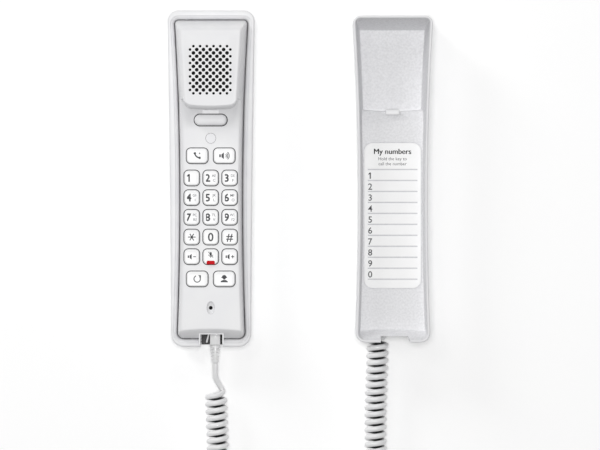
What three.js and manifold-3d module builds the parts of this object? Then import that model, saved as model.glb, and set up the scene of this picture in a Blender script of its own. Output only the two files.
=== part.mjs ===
// A slimline wall phone: a handset with its keypad, a wall cradle, and the curly cord between them.
// Millimetres, +Z up. Both halves lie on their backs side by side, earpiece end towards +Y.
// The handset is built about x = 0 in its own group, and so is the cradle, and each group is set aside.
import * as THREE from 'three';
import { mergeVertices } from 'three/addons/utils/BufferGeometryUtils.js';
import Module from 'manifold-3d';

const wasm = await Module();
wasm.setup();

// ---- driving dimensions -------------------------------------------------------------------------
const SPACING = 113.2;              // between the two centre lines as they lie
const FIT = 0.3;                    // between pieces that are fitted to each other
const SEAT = 0.1;                   // between a piece and what it rests on
const PROUD = 1;                    // how far a cutting tool runs past the face it cuts

// the cradle's plan
const CRADLE_TOP = 101.1;
const CRADLE_BOTTOM = -101.9;
const CRADLE_WAIST_Y = -13;
const CRADLE_WAIST_HALF = 21.5;
const CRADLE_TOP_HALF = 25.1;
const CRADLE_BOTTOM_HALF = 23.4;
const CRADLE_TOP_RADIUS = 4.6;
const CRADLE_BOTTOM_RADIUS = 6;
// the cradle's section
const CRADLE_DEPTH = 28;            // from the wall face to the rim
const CRADLE_WALL = 1.7;            // at the rim
const TRAY_SKIN = 2;                // under the tray and the pocket
const POCKET_FLOOR = 7.4;
const TRAY_FLOOR = 18.2;
const POCKET_SIDE_DRAFT = 2.4;      // each side, from the rim to the pocket floor
const POCKET_TOP_DRAFT = 6.1;
const TRAY_END_DRAFT = 5.2;         // at the bottom end, from the rim to the tray floor
const ROLL_LENGTH = 13.9;           // the tray floor rolls over towards the step
const ROLL_DROP = 4.5;
const BACK_CHAMFER = 1.5;
// the way out for the cord
const NOTCH_LEFT = -7.6;
const NOTCH_RIGHT = 9.4;
const NOTCH_SLANT = 2.4;
const NOTCH_EDGE_Y = -98;
const TUNNEL_LEFT = -17.6;
const TUNNEL_HEIGHT = 15.2;
// the cradle's other pieces
const COVER_THICKNESS = 2;
const COVER_END_Y = -92;
const KEYHOLE_SPACING = 83.6;
const KEYHOLE_HEAD = 8.4;
const KEYHOLE_SLOT = 4.4;
const KEYHOLE_TRAVEL = 7;
const TAB_WIDTH = 8.7;
const TAB_LENGTH = 3.2;
const TAB_SETBACK = 2;              // from the step down to the tab's middle
const TAB_RISE = 0.8;               // above the tray floor
const CARD_WIDTH = 35.2;
const CARD_TOP = 22.2;
const CARD_BOTTOM = -68.2;
const CARD_RADIUS = 5.2;
const CARD_THICKNESS = 0.3;
const CRADLE_SCREW_X = 12.5;
const CRADLE_SCREW_TOP_Y = 24;
const CRADLE_SCREW_BOTTOM_Y = -71.5;
const CRADLE_BOARD = { width: 30, top: 14, bottom: -66, thickness: 1.6, z: 13 };
const LINE_JACK = { width: 15, length: 14, height: 10.5, opening: 9.9, slot: 7, wall: 2, y: 0 };
const RINGER = { diameter: 20, height: 3.4, y: -48 };
const CRADLE_JACK_X = -4.7;
const CRADLE_JACK_FACE_Y = -90;
const CRADLE_PLUG_ROOM = 5;         // left in front of the cradle plug's nose

// the handset's plan
const HANDSET_TOP = 105;
const HANDSET_BOTTOM = -105;
const HANDSET_TOP_HALF = 27.2;
const HANDSET_BOTTOM_HALF = 24.9;
const HANDSET_TAPER = 1.6;          // power of the taper between the two ends
const HANDSET_TOP_RADIUS = 6.5;
const HANDSET_BOTTOM_RADIUS = 8;
// the handset's section
const SHELL_DEPTH = 18;             // from the back to the rim
const SHELL_WALL = 2.2;
const BACK_RADIUS = 7;
const RIM_CLEARANCE = 0.5;          // between the cradle's rim and the handset's channel
const CHANNEL_DEPTH = 1.5;
const FRONT_CLEARANCE = 0.6;        // between the handset's front and the cradle's walls
const FRONT_WALL = 2;
const FRONT_SKIRT = 4;              // how far the front shell reaches down inside the rear shell
const FACE_HEIGHT = 6.5;            // keypad face above the rim
const FACE_RADIUS = 1.6;
const FACE_EDGE = 0.3;              // share of that radius at the middle of its curve
const FACE_END_DRAFT = 4.4;         // the bottom end leans in between the channel and the face
const EARPIECE_HEIGHT = 18;         // earpiece face above the rim
const EARPIECE_BOTTOM = 43.9;       // at the corners
const EARPIECE_BULGE = 1.2;         // its curve towards the keys at the centre
const STEP_CLEARANCE = 0.5;         // between the earpiece and the cradle's step
const SIDE_DRAFT = 2.2;             // each side, from the channel to the earpiece face
const EARPIECE_TOP_DRAFT = 5.6;
const EARPIECE_EDGE = 1;            // round the earpiece face
const EARPIECE_NARROWING = 0.9;     // each side, towards the keys
const EARPIECE_CORNER = 3;
const RAMP_LENGTH = 15;             // from the keypad face up to the earpiece
const RAMP_RISE = 4;
// keys
const KEY_WIDTH = 9.4;
const WIDE_KEY_WIDTH = 13.2;
const KEY_LENGTH = 9.4;
const KEY_RADIUS = 2.6;
const KEY_GAP = 0.5;
const KEY_PROUD = 1;
const KEY_DEPTH = 2.8;              // below the keypad face
const KEY_EDGE = 0.5;
const KEY_PITCH = 11.76;
const WIDE_KEY_X = 8.4;
const TALK_ROW_Y = 14.1;
const DIGIT_ROWS_Y = [0.3, -11.9, -24.1, -36.4, -48.6];
const SERVICE_ROW_Y = -62.4;
const MUTE_LIGHT = { width: 5, length: 2.2, height: 1.6 };
// the rest of the face
const HOOK = { width: 20.1, length: 6.8, y: 36.3, proud: 10.4, bottom: 5.4 };   // heights above the rim
const SLOT = { side: 0.9, clearance: 0.3, floor: 7.5 };
const LENS = { diameter: 6.3, y: 25, depth: 2.6 };
const MIC = { hole: 2.5, y: -80.4, diameter: 6, height: 2.7, boot: 1.2 };
// inside the handset
const MAT_SHEET = 0.8;
const MAT_DOME = 1.1;
const MAT_MARGIN = 2.4;
const MAT_INSET = 0.8;              // the mat and the board stop short of the outer keys' edges
const BOARD_THICKNESS = 1.6;
const SPEAKER = { diameter: 32, height: 6, y: 67 };
const FELT = { diameter: 31, thickness: 0.7 };
const WEIGHT = { width: 30, length: 62, height: 6, y: 6 };
const HOOK_CONTACT = { width: 6, height: 1.7 };
// screws
const SCREW = { head: 5.6, headHeight: 1.2, shank: 2.2, length: 7 };
const SCREW_BOSS = 7.4;
const HANDSET_SCREW_CUP = 9.4;      // round the recess, inside the rear shell
const HANDSET_PILLAR = 6.4;         // under the front shell
const HANDSET_SCREW_TOP_Y = 89;
const HANDSET_SCREW_RECESS = 3;
// modular plugs and jacks
const PLUG = { width: 6.3, height: 7.7, length: 11.5, latch: 1.2, latchSpread: 2.2 };
const PLUG_Z = 8;
const JACK_WALL = 1.4;
const JACK_DEPTH = 13;
const HANDSET_PLUG_X = 2.3;
const HANDSET_PLUG_END_Y = -103.9;
const JACK_NOTCH_LEFT = -6.6;
const JACK_NOTCH_RIGHT = 7.1;
const JACK_NOTCH_Y = -97;
const JACK_NOTCH_FLOOR = 2.6;
const BOOT = { end: 6.6, tip: 4.1, length: 11.2 };
// the curly cord: its plain lead and the outside of its coils
const LEAD_DIAMETER = 3.1;
const COIL_DIAMETER = 14.4;
const COIL_Z = 7.4;
const LEAD_SIDES = 8;
const COIL_SIDES = 12;
const COIL_STEPS = 50;
const LEAD_STEPS = 10;
const TAIL_STEPS = 2;
const HANDSET_LEAD = [              // [x, y, z] from the middle of the boot's tip
  [0, -0.2, 0], [0, -4.1, 0], [0.1, -8.6, -0.1], [2.1, -12.6, -0.3], [3.8, -15.6, -0.5],
];
const CRADLE_LEAD = [               // [x, y, z] from the middle of the cradle plug's end
  [0, -0.4, 0], [0, -2.1, -0.1], [0, -4, -0.2],
];
const LEFT_ARM = [                  // [x, y] of the coils from the boot's tip, down to the bend
  [0.4, -21.4], [0.9, -34.6], [1.5, -48.6], [2, -64.6],
];
const RIGHT_ARM = [                 // [x, y] of the coils from the cradle plug's end, down to the bend
  [-4.3, -4.6], [-4.5, -15.1], [-5, -30.1], [-5.6, -52.1], [-5.7, -70.1], [-5.8, -85.1],
];
const BEND_STEPS = 8;               // along the half turn between the two arms

// ---- worked out from the driving dimensions ---------------------------------------------------
const FACE_Z = SHELL_DEPTH + FACE_HEIGHT;
const EARPIECE_Z = SHELL_DEPTH + EARPIECE_HEIGHT;
const FRONT_BOTTOM_Z = SHELL_DEPTH - FRONT_SKIRT;
const BOARD_Z = FACE_Z - KEY_DEPTH - FIT - MAT_DOME - MAT_SHEET - FIT - BOARD_THICKNESS;
const CHANNEL_Z = SHELL_DEPTH - CHANNEL_DEPTH;
const FRONT_INSET = CRADLE_WALL + FRONT_CLEARANCE;
const HANDSET_SCREW_BOTTOM_Y = MIC.y + MIC.diameter / 2 + MIC.boot + SCREW_BOSS / 2;
const STEP_Y = EARPIECE_BOTTOM - STEP_CLEARANCE;
const TAB_Y = STEP_Y - TAB_SETBACK;
const CRADLE_PLUG_END_Y = CRADLE_JACK_FACE_Y + JACK_DEPTH - JACK_WALL - CRADLE_PLUG_ROOM - PLUG.length;
const BOOT_END_Y = HANDSET_PLUG_END_Y - FIT - BOOT.length;

const cradlePlan = {
  half: cradleHalfWidth,
  top: CRADLE_TOP,
  bottom: CRADLE_BOTTOM,
  topRadius: CRADLE_TOP_RADIUS,
  bottomRadius: CRADLE_BOTTOM_RADIUS,
};
const handsetPlan = {
  half: handsetHalfWidth,
  top: HANDSET_TOP,
  bottom: HANDSET_BOTTOM,
  topRadius: HANDSET_TOP_RADIUS,
  bottomRadius: HANDSET_BOTTOM_RADIUS,
};

// The cradle flares from its waist towards both ends, with the square of the distance.
function cradleHalfWidth(y) {
  const up = y > CRADLE_WAIST_Y;
  const end = up ? CRADLE_TOP : CRADLE_BOTTOM;
  const flare = (up ? CRADLE_TOP_HALF : CRADLE_BOTTOM_HALF) - CRADLE_WAIST_HALF;
  return CRADLE_WAIST_HALF + flare * ((y - CRADLE_WAIST_Y) / (end - CRADLE_WAIST_Y)) ** 2;
}

function handsetHalfWidth(y) {
  const t = Math.max((y - HANDSET_BOTTOM) / (HANDSET_TOP - HANDSET_BOTTOM), 0);
  return HANDSET_BOTTOM_HALF + (HANDSET_TOP_HALF - HANDSET_BOTTOM_HALF) * t ** HANDSET_TAPER;
}

// ---- solids -----------------------------------------------------------------------------------
const CORNER_STEPS = 4;
const SIDE_STEPS = 8;
const CIRCLE_STEPS = 16;
const CORNER_ROOM = 0.98;           // a corner's radius stays under this share of the room it has

// A closed ring at height z: a plan drawn in by `side` all along, and by `top` and `bottom` at its ends.
function ring(plan, z, side = 0, top = side, bottom = side) {
  const high = plan.top - top;
  const low = plan.bottom + bottom;
  const limit = Math.min((high - low) / 2, plan.half(0) - side) * CORNER_ROOM;
  const rt = Math.min(Math.max(plan.topRadius - side, FIT), limit);
  const rb = Math.min(Math.max(plan.bottomRadius - side, FIT), limit);
  const right = [];
  const corner = (y, r, start) => {
    for (let i = 0; i <= CORNER_STEPS; i++) {
      const a = start + (i / CORNER_STEPS) * (Math.PI / 2);
      right.push([plan.half(y) - side - r + r * Math.cos(a), y + r * Math.sin(a)]);
    }
  };
  corner(low + rb, rb, -Math.PI / 2);
  const steps = plan.sideSteps ?? SIDE_STEPS;
  for (let i = 1; i < steps; i++) {
    const y = THREE.MathUtils.lerp(low + rb, high - rt, i / steps);
    right.push([plan.half(y) - side, y]);
  }
  corner(high - rt, rt, 0);
  const left = right.map(([x, y]) => [-x, y]).reverse();
  return [...right, ...left].map(([x, y]) => new THREE.Vector3(x, y, z));
}

// Joins rings of equal counts, lowest first, and closes both ends with a fan.
function loft(rings) {
  const count = rings[0].length;
  const positions = rings.flat().flatMap((p) => [p.x, p.y, p.z]);
  const index = [];
  for (let k = 0; k + 1 < rings.length; k++) {
    for (let i = 0; i < count; i++) {
      const a = k * count + i;
      const b = k * count + ((i + 1) % count);
      index.push(a, b, b + count, a, b + count, a + count);
    }
  }
  for (const [k, up] of [[0, false], [rings.length - 1, true]]) {
    const middle = rings[k].reduce((sum, p) => sum.add(p), new THREE.Vector3()).divideScalar(count);
    const centre = positions.length / 3;
    positions.push(middle.x, middle.y, middle.z);
    for (let i = 0; i < count; i++) {
      const a = k * count + i;
      const b = k * count + ((i + 1) % count);
      index.push(centre, up ? a : b, up ? b : a);
    }
  }
  const geometry = new THREE.BufferGeometry();
  geometry.setAttribute('position', new THREE.Float32BufferAttribute(positions, 3));
  geometry.setIndex(index);
  return solid(geometry);
}

function solid(geometry) {
  geometry.deleteAttribute('normal');
  geometry.deleteAttribute('uv');
  const merged = mergeVertices(geometry, 1e-4);
  const mesh = new wasm.Mesh({
    numProp: 3,
    vertProperties: new Float32Array(merged.attributes.position.array),
    triVerts: new Uint32Array(merged.index.array),
  });
  return new wasm.Manifold(mesh);
}

function box(x0, x1, y0, y1, z0, z1) {
  const geometry = new THREE.BoxGeometry(x1 - x0, y1 - y0, z1 - z0);
  return solid(geometry.translate((x0 + x1) / 2, (y0 + y1) / 2, (z0 + z1) / 2));
}

function disc(diameter, x, y, z0, z1, steps = CIRCLE_STEPS) {
  const geometry = new THREE.CylinderGeometry(diameter / 2, diameter / 2, z1 - z0, steps);
  return solid(geometry.rotateX(Math.PI / 2).translate(x, y, (z0 + z1) / 2));
}

// A prism standing on a plan outline of [x, y] points.
function prism(points, z0, z1) {
  const shape = new THREE.Shape(points.map(([x, y]) => new THREE.Vector2(x, y)));
  const geometry = new THREE.ExtrudeGeometry(shape, { depth: z1 - z0, bevelEnabled: false });
  return solid(geometry.translate(0, 0, z0));
}

// A prism across the width of a side profile of [y, z] points.
function crossPrism(points, half) {
  const shape = new THREE.Shape(points.map(([y, z]) => new THREE.Vector2(y, z)));
  const geometry = new THREE.ExtrudeGeometry(shape, { depth: 2 * half, bevelEnabled: false });
  const basis = new THREE.Matrix4().makeBasis(
    new THREE.Vector3(0, 1, 0), new THREE.Vector3(0, 0, 1), new THREE.Vector3(1, 0, 0));
  return solid(geometry.applyMatrix4(basis).translate(-half, 0, 0));
}

function tube(points, diameter, sides, steps) {
  const circle = new THREE.Shape();
  circle.absarc(0, 0, diameter / 2, 0, 2 * Math.PI);
  const path = new THREE.CatmullRomCurve3(points.map((p) => new THREE.Vector3(p[0], p[1], p[2] ?? COIL_Z)));
  const settings = { extrudePath: path, steps, curveSegments: sides / 2, bevelEnabled: false };
  return solid(new THREE.ExtrudeGeometry(circle, settings));
}

function add(group, name, body, look, position = [0, 0, 0]) {
  const { vertProperties, triVerts } = body.getMesh();
  const geometry = new THREE.BufferGeometry();
  geometry.setAttribute('position', new THREE.Float32BufferAttribute(vertProperties, 3));
  geometry.setIndex([...triVerts]);
  const mesh = new THREE.Mesh(geometry, look);
  mesh.name = name;
  mesh.position.set(...position);
  group.add(mesh);
}

const finish = (color, roughness, metalness = 0) =>
  new THREE.MeshStandardMaterial({ color, roughness, metalness });
const WHITE_ABS = finish(0xe9e9ea, 0.45);
const KEY_WHITE = finish(0xf4f4f4, 0.4);
const LEGEND_CARD = finish(0xfafafa, 0.6);
const CORD_GREY = finish(0xe2e2e2, 0.5);
const BLACK = finish(0x1b1b1c, 0.5);
const RUBBER = finish(0x8d8f92, 0.8);
const BOARD_GREEN = finish(0x2f6b45, 0.6);
const STEEL = finish(0xb8bcc0, 0.35, 1);
const RED_LENS = finish(0xd0202a, 0.25);
const CLEAR_LENS = finish(0xdcdcdc, 0.25);

// ---- the cradle -------------------------------------------------------------------------------
const WIDE = 2 * CRADLE_TOP_HALF;   // cutting prisms run past both sides and over the top
const HIGH = 2 * EARPIECE_Z;

// The tray floor in side view, from the bottom end up to past the step, lowered by `drop`.
function floorLine(drop) {
  const start = STEP_Y - ROLL_LENGTH;
  const points = [[CRADLE_BOTTOM - PROUD, TRAY_FLOOR - drop], [start, TRAY_FLOOR - drop]];
  const steps = 5;
  for (let i = 1; i <= steps; i++) {
    const t = i / steps;
    points.push([start + ROLL_LENGTH * t, TRAY_FLOOR - drop - ROLL_DROP * t * t]);
  }
  return points;
}

// The step in plan: it curves towards the tray at the centre.
function stepLine() {
  const points = [];
  const steps = 8;
  for (let i = 0; i <= steps; i++) {
    const u = (2 * i) / steps - 1;
    points.push([u * CRADLE_TOP_HALF, STEP_Y - EARPIECE_BULGE * (1 - u * u)]);
  }
  return points;
}

// The hollow that the handset lies in: drafted walls over the pocket, the step, the roll and the tray floor.
function trayHollow() {
  const depth = CRADLE_DEPTH - POCKET_FLOOR;
  const trayShare = (CRADLE_DEPTH - TRAY_FLOOR) / depth;
  const wallAt = (share) => [
    CRADLE_WALL + POCKET_SIDE_DRAFT * share,
    CRADLE_WALL + POCKET_TOP_DRAFT * share,
    CRADLE_WALL + TRAY_END_DRAFT * (share / trayShare),
  ];
  const rings = [
    ring(cradlePlan, POCKET_FLOOR, ...wallAt(1)),
    ring(cradlePlan, TRAY_FLOOR, ...wallAt(trayShare)),
    ring(cradlePlan, CRADLE_DEPTH, ...wallAt(0)),
    ring(cradlePlan, CRADLE_DEPTH + PROUD, ...wallAt(0)),
  ];
  const overTray = crossPrism([...floorLine(0), [STEP_Y, HIGH], [CRADLE_BOTTOM - PROUD, HIGH]], WIDE);
  const end = CRADLE_TOP + PROUD;
  const overPocket = prism([...stepLine(), [WIDE, end], [-WIDE, end]], POCKET_FLOOR, HIGH);
  return loft(rings).intersect(overTray.add(overPocket));
}

// The space behind the tray, for the board, the jacks and the cord.
function backHollow() {
  const rings = [
    ring(cradlePlan, -PROUD, SHELL_WALL),
    ring(cradlePlan, COVER_THICKNESS + SEAT, SHELL_WALL),
    ring(cradlePlan, TRAY_FLOOR, SHELL_WALL + POCKET_SIDE_DRAFT / 2, SHELL_WALL, SHELL_WALL + TRAY_END_DRAFT),
  ];
  const underTray = [...floorLine(TRAY_SKIN), [STEP_Y, -HIGH], [CRADLE_BOTTOM - PROUD, -HIGH]];
  const low = crossPrism(underTray.reverse(), WIDE);
  const inner = loft(rings);
  const behindPocket = inner.intersect(
    box(-WIDE, WIDE, STEP_Y - EARPIECE_BULGE - TRAY_SKIN, CRADLE_TOP, -HIGH, POCKET_FLOOR - TRAY_SKIN));
  const behindTray = inner.intersect(low)
    .intersect(box(-WIDE, WIDE, CRADLE_BOTTOM, STEP_Y - EARPIECE_BULGE - TRAY_SKIN, -HIGH, HIGH));
  return behindTray.add(behindPocket);
}

function cradleScrewPlaces() {
  const places = [];
  for (const y of [CRADLE_SCREW_TOP_Y, CRADLE_SCREW_BOTTOM_Y]) {
    places.push([-CRADLE_SCREW_X, y], [CRADLE_SCREW_X, y]);
  }
  return places;
}

function cradleTray() {
  const outside = loft([
    ring(cradlePlan, 0, BACK_CHAMFER),
    ring(cradlePlan, BACK_CHAMFER, 0),
    ring(cradlePlan, CRADLE_DEPTH, 0),
  ]);
  let tray = outside.subtract(trayHollow()).subtract(backHollow());
  for (const [x, y] of cradleScrewPlaces()) {
    const boss = disc(SCREW_BOSS, x, y, COVER_THICKNESS + SEAT, TRAY_FLOOR - TRAY_SKIN / 2);
    tray = tray.add(boss);
  }
  for (const [x, y] of cradleScrewPlaces()) {
    const bore = SCREW.shank + 2 * FIT;
    tray = tray.subtract(disc(bore, x, y, 0, COVER_THICKNESS + SCREW.length));
  }
  const notch = prism([
    [NOTCH_LEFT, CRADLE_BOTTOM - PROUD], [NOTCH_RIGHT + NOTCH_SLANT, CRADLE_BOTTOM - PROUD],
    [NOTCH_RIGHT, NOTCH_EDGE_Y], [NOTCH_LEFT, NOTCH_EDGE_Y],
  ], -PROUD, HIGH);
  const tunnel = box(TUNNEL_LEFT, NOTCH_RIGHT, CRADLE_BOTTOM - PROUD, COVER_END_Y, -PROUD, TUNNEL_HEIGHT);
  return tray.subtract(notch).subtract(tunnel);
}

function keyhole(y) {
  const slide = KEYHOLE_TRAVEL;
  const z0 = -PROUD;
  const z1 = COVER_THICKNESS + PROUD;
  return disc(KEYHOLE_HEAD, 0, y, z0, z1)
    .add(box(-KEYHOLE_SLOT / 2, KEYHOLE_SLOT / 2, y, y + slide, z0, z1))
    .add(disc(KEYHOLE_SLOT, 0, y + slide, z0, z1));
}

function backCover() {
  const side = SHELL_WALL + FIT;
  const whole = loft([ring(cradlePlan, 0, side), ring(cradlePlan, COVER_THICKNESS, side)]);
  let cover = whole.subtract(
    box(TUNNEL_LEFT, NOTCH_RIGHT + NOTCH_SLANT, CRADLE_BOTTOM - PROUD, COVER_END_Y, -PROUD, HIGH));
  for (const y of [KEYHOLE_SPACING / 2, -KEYHOLE_SPACING / 2]) {
    cover = cover.subtract(keyhole(y));
  }
  for (const [x, y] of cradleScrewPlaces()) {
    cover = cover.subtract(disc(SCREW.shank + 2 * FIT, x, y, -PROUD, HIGH))
      .subtract(disc(SCREW.head + 2 * FIT, x, y, -PROUD, SCREW.headHeight + SEAT));
  }
  const half = LINE_JACK.opening / 2 + FIT;
  const long = LINE_JACK.slot / 2 + FIT;
  return cover.subtract(box(-half, half, LINE_JACK.y - long, LINE_JACK.y + long, -PROUD, HIGH));
}

function lineJack() {
  const { width, length, height, opening, slot, wall, y } = LINE_JACK;
  const z = COVER_THICKNESS + SEAT;
  const body = box(-width / 2, width / 2, y - length / 2, y + length / 2, z, z + height);
  return body.subtract(
    box(-opening / 2, opening / 2, y - slot / 2, y + slot / 2, z - PROUD, z + height - wall));
}

// A cord jack seen from its front: a block at y0 and behind it, with a pocket that its plug fits.
function cordJack(x, faceY) {
  const half = PLUG.width / 2 + FIT;
  const tall = PLUG.height / 2 + FIT;
  const latch = PLUG.latchSpread + PLUG.latch;
  const body = box(x - half - latch - JACK_WALL, x + half + JACK_WALL, faceY, faceY + JACK_DEPTH,
    PLUG_Z - tall - JACK_WALL, PLUG_Z + tall + JACK_WALL);
  const pocket = box(x - half - latch, x + half, faceY - PROUD, faceY + JACK_DEPTH - JACK_WALL,
    PLUG_Z - tall, PLUG_Z + tall);
  return body.subtract(pocket);
}

// A plug on its side: its latch is a tongue on the -X face that springs away towards the cord.
function cordPlug(x, endY) {
  const nose = endY + PLUG.length;
  const left = x - PLUG.width / 2;
  const body = box(left, x + PLUG.width / 2, endY, nose, PLUG_Z - PLUG.height / 2, PLUG_Z + PLUG.height / 2);
  const tongue = prism([
    [left + FIT, nose - PLUG.latch * 2], [left + FIT, nose], [left - FIT, nose],
    [left - PLUG.latchSpread - PLUG.latch / 2, endY + PLUG.latch],
    [left - PLUG.latchSpread + PLUG.latch / 2, endY + PLUG.latch],
  ].reverse(), PLUG_Z - PLUG.height / 4, PLUG_Z + PLUG.height / 4);
  return body.add(tongue);
}

function screw(x, y, z) {
  return disc(SCREW.head, x, y, z, z + SCREW.headHeight)
    .add(disc(SCREW.shank, x, y, z, z + SCREW.headHeight + SCREW.length));
}

function buildCradle(group) {
  add(group, 'cradle_tray', cradleTray(), WHITE_ABS);
  add(group, 'back_cover', backCover(), WHITE_ABS);
  const card = {
    half: () => CARD_WIDTH / 2,
    top: CARD_TOP,
    bottom: CARD_BOTTOM,
    topRadius: CARD_RADIUS,
    bottomRadius: CARD_RADIUS,
    sideSteps: 1,
  };
  const cardZ = TRAY_FLOOR + SEAT / 2;
  add(group, 'number_card', loft([ring(card, cardZ), ring(card, cardZ + CARD_THICKNESS)]), LEGEND_CARD);
  const tabShare = (TAB_Y - TAB_LENGTH / 2 - STEP_Y + ROLL_LENGTH) / ROLL_LENGTH;
  const tabFootZ = TRAY_FLOOR - ROLL_DROP * tabShare ** 2 + SEAT;
  const tab = box(-TAB_WIDTH / 2, TAB_WIDTH / 2, TAB_Y - TAB_LENGTH / 2, TAB_Y + TAB_LENGTH / 2,
    tabFootZ, TRAY_FLOOR + TAB_RISE);
  add(group, 'retaining_tab', tab, WHITE_ABS);
  const board = CRADLE_BOARD;
  add(group, 'cradle_board',
    box(-board.width / 2, board.width / 2, board.bottom, board.top, board.z, board.z + board.thickness),
    BOARD_GREEN);
  add(group, 'line_jack', lineJack(), BLACK);
  const ringerZ = board.z - SEAT;
  add(group, 'ringer', disc(RINGER.diameter, 0, RINGER.y, ringerZ - RINGER.height, ringerZ), BLACK);
  add(group, 'cradle_cord_jack', cordJack(CRADLE_JACK_X, CRADLE_JACK_FACE_Y), BLACK);
  cradleScrewPlaces().forEach(([x, y], i) => {
    add(group, `cradle_screw_${i + 1}`, screw(x, y, SEAT / 2), STEEL);
  });
}

// ---- the handset ------------------------------------------------------------------------------
function roundedBack() {
  const rings = [];
  const steps = 4;
  for (let i = 0; i <= steps; i++) {
    const a = (i / steps) * (Math.PI / 2);
    rings.push(ring(handsetPlan, BACK_RADIUS * (1 - Math.cos(a)), BACK_RADIUS * (1 - Math.sin(a))));
  }
  rings.push(ring(handsetPlan, SHELL_DEPTH, 0));
  return loft(rings);
}

function handsetScrewPlaces() {
  return [[0, HANDSET_SCREW_TOP_Y], [0, HANDSET_SCREW_BOTTOM_Y]];
}

function jackNotch() {
  return box(JACK_NOTCH_LEFT, JACK_NOTCH_RIGHT, HANDSET_BOTTOM - PROUD, JACK_NOTCH_Y, JACK_NOTCH_FLOOR, HIGH);
}

function rearShell() {
  const hollow = loft([
    ring(handsetPlan, SHELL_WALL, BACK_RADIUS),
    ring(handsetPlan, BACK_RADIUS, SHELL_WALL),
    ring(handsetPlan, CHANNEL_Z - CHANNEL_DEPTH, SHELL_WALL),
  ]);
  const opening = loft([
    ring(cradlePlan, SHELL_WALL * 2, FRONT_INSET - FIT),
    ring(cradlePlan, SHELL_DEPTH + PROUD, FRONT_INSET - FIT),
  ]);
  const channel = loft([
    ring(cradlePlan, CHANNEL_Z, -RIM_CLEARANCE),
    ring(cradlePlan, SHELL_DEPTH + PROUD, -RIM_CLEARANCE),
  ]);
  const bossTop = HANDSET_SCREW_RECESS + SHELL_WALL;
  let shell = roundedBack().subtract(hollow).subtract(opening).subtract(channel);
  for (const [x, y] of handsetScrewPlaces()) {
    shell = shell.add(disc(HANDSET_SCREW_CUP, x, y, SHELL_WALL / 2, bossTop))
      .subtract(disc(SCREW.head + 2 * FIT, x, y, -PROUD, HANDSET_SCREW_RECESS))
      .subtract(disc(SCREW.shank + 2 * FIT, x, y, -PROUD, bossTop + PROUD));
  }
  return shell.subtract(jackNotch());
}

// The ramp's height above the keypad face at y.
function rampHeight(y) {
  const t = THREE.MathUtils.clamp((y - (EARPIECE_BOTTOM - RAMP_LENGTH)) / RAMP_LENGTH, 0, 1);
  return RAMP_RISE * t * t;
}

// The earpiece in plan, drawn in by `side` and `top`: it narrows towards the keys, where its end bulges.
function earpieceRing(z, side, top, lowest) {
  const plan = {
    half: (y) => {
      const t = (CRADLE_TOP - y) / (CRADLE_TOP - EARPIECE_BOTTOM);
      return cradleHalfWidth(y) - FRONT_INSET - EARPIECE_NARROWING * Math.min(t, 1);
    },
    top: CRADLE_TOP - FRONT_INSET,
    bottom: lowest,
    topRadius: CRADLE_TOP_RADIUS,
    bottomRadius: EARPIECE_CORNER,
  };
  const points = ring(plan, z, side, top, 0);
  return points.map((p) => {
    const u = Math.min(Math.abs(p.x) / plan.half(lowest), 1);
    const low = p.y < lowest + EARPIECE_CORNER;
    return low ? new THREE.Vector3(p.x, p.y - EARPIECE_BULGE * (1 - u * u), p.z) : p;
  });
}

// How far z is up from the channel to a top, from 0 to 1: the front's walls lean in with it.
function climb(z, top) {
  return Math.max(z - CHANNEL_Z, 0) / (top - CHANNEL_Z);
}

function earpiece(shrink) {
  const top = EARPIECE_Z - shrink;
  const level = (z, curve) => {
    const t = climb(z, EARPIECE_Z);
    const side = shrink + SIDE_DRAFT * t + curve;
    const end = shrink + EARPIECE_TOP_DRAFT * t + curve;
    return earpieceRing(z, side, end, EARPIECE_BOTTOM + shrink);
  };
  return loft([
    level(FRONT_BOTTOM_Z, 0),
    level(CHANNEL_Z, 0),
    level(top - EARPIECE_EDGE, 0),
    level(top, EARPIECE_EDGE),
  ]);
}

function ramp(shrink) {
  const foot = EARPIECE_BOTTOM - RAMP_LENGTH;
  const end = EARPIECE_BOTTOM + 2 * EARPIECE_CORNER;
  const points = [[foot, FRONT_BOTTOM_Z], [end, FRONT_BOTTOM_Z], [end, FACE_Z - shrink + RAMP_RISE]];
  const steps = 5;
  for (let i = steps; i >= 0; i--) {
    const y = foot + (RAMP_LENGTH * i) / steps;
    points.push([y, FACE_Z - shrink + rampHeight(y)]);
  }
  const side = FRONT_INSET + shrink;
  const limits = loft([
    ring(cradlePlan, FRONT_BOTTOM_Z - PROUD, side),
    ring(cradlePlan, CHANNEL_Z, side),
    ring(cradlePlan, EARPIECE_Z, side + SIDE_DRAFT),
  ]);
  return crossPrism(points, WIDE).intersect(limits);
}

function keypadFace(shrink) {
  const side = FRONT_INSET + shrink;
  const top = FACE_Z - shrink;
  const level = (z, curve) => {
    const t = climb(z, EARPIECE_Z);
    return ring(cradlePlan, z, side + SIDE_DRAFT * t + curve, side + EARPIECE_TOP_DRAFT * t + curve,
      side + FACE_END_DRAFT * climb(z, FACE_Z));
  };
  return loft([
    level(FRONT_BOTTOM_Z - (shrink ? PROUD : 0), 0),
    level(CHANNEL_Z, 0),
    level(top - FACE_RADIUS, 0),
    level(top - FACE_RADIUS * FACE_EDGE, FACE_RADIUS * FACE_EDGE),
    level(top, FACE_RADIUS),
  ]);
}

const keyPlan = (width, length, radius) => ({
  half: () => width / 2,
  top: length / 2,
  bottom: -length / 2,
  topRadius: radius,
  bottomRadius: radius,
  sideSteps: 1,
});

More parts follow.
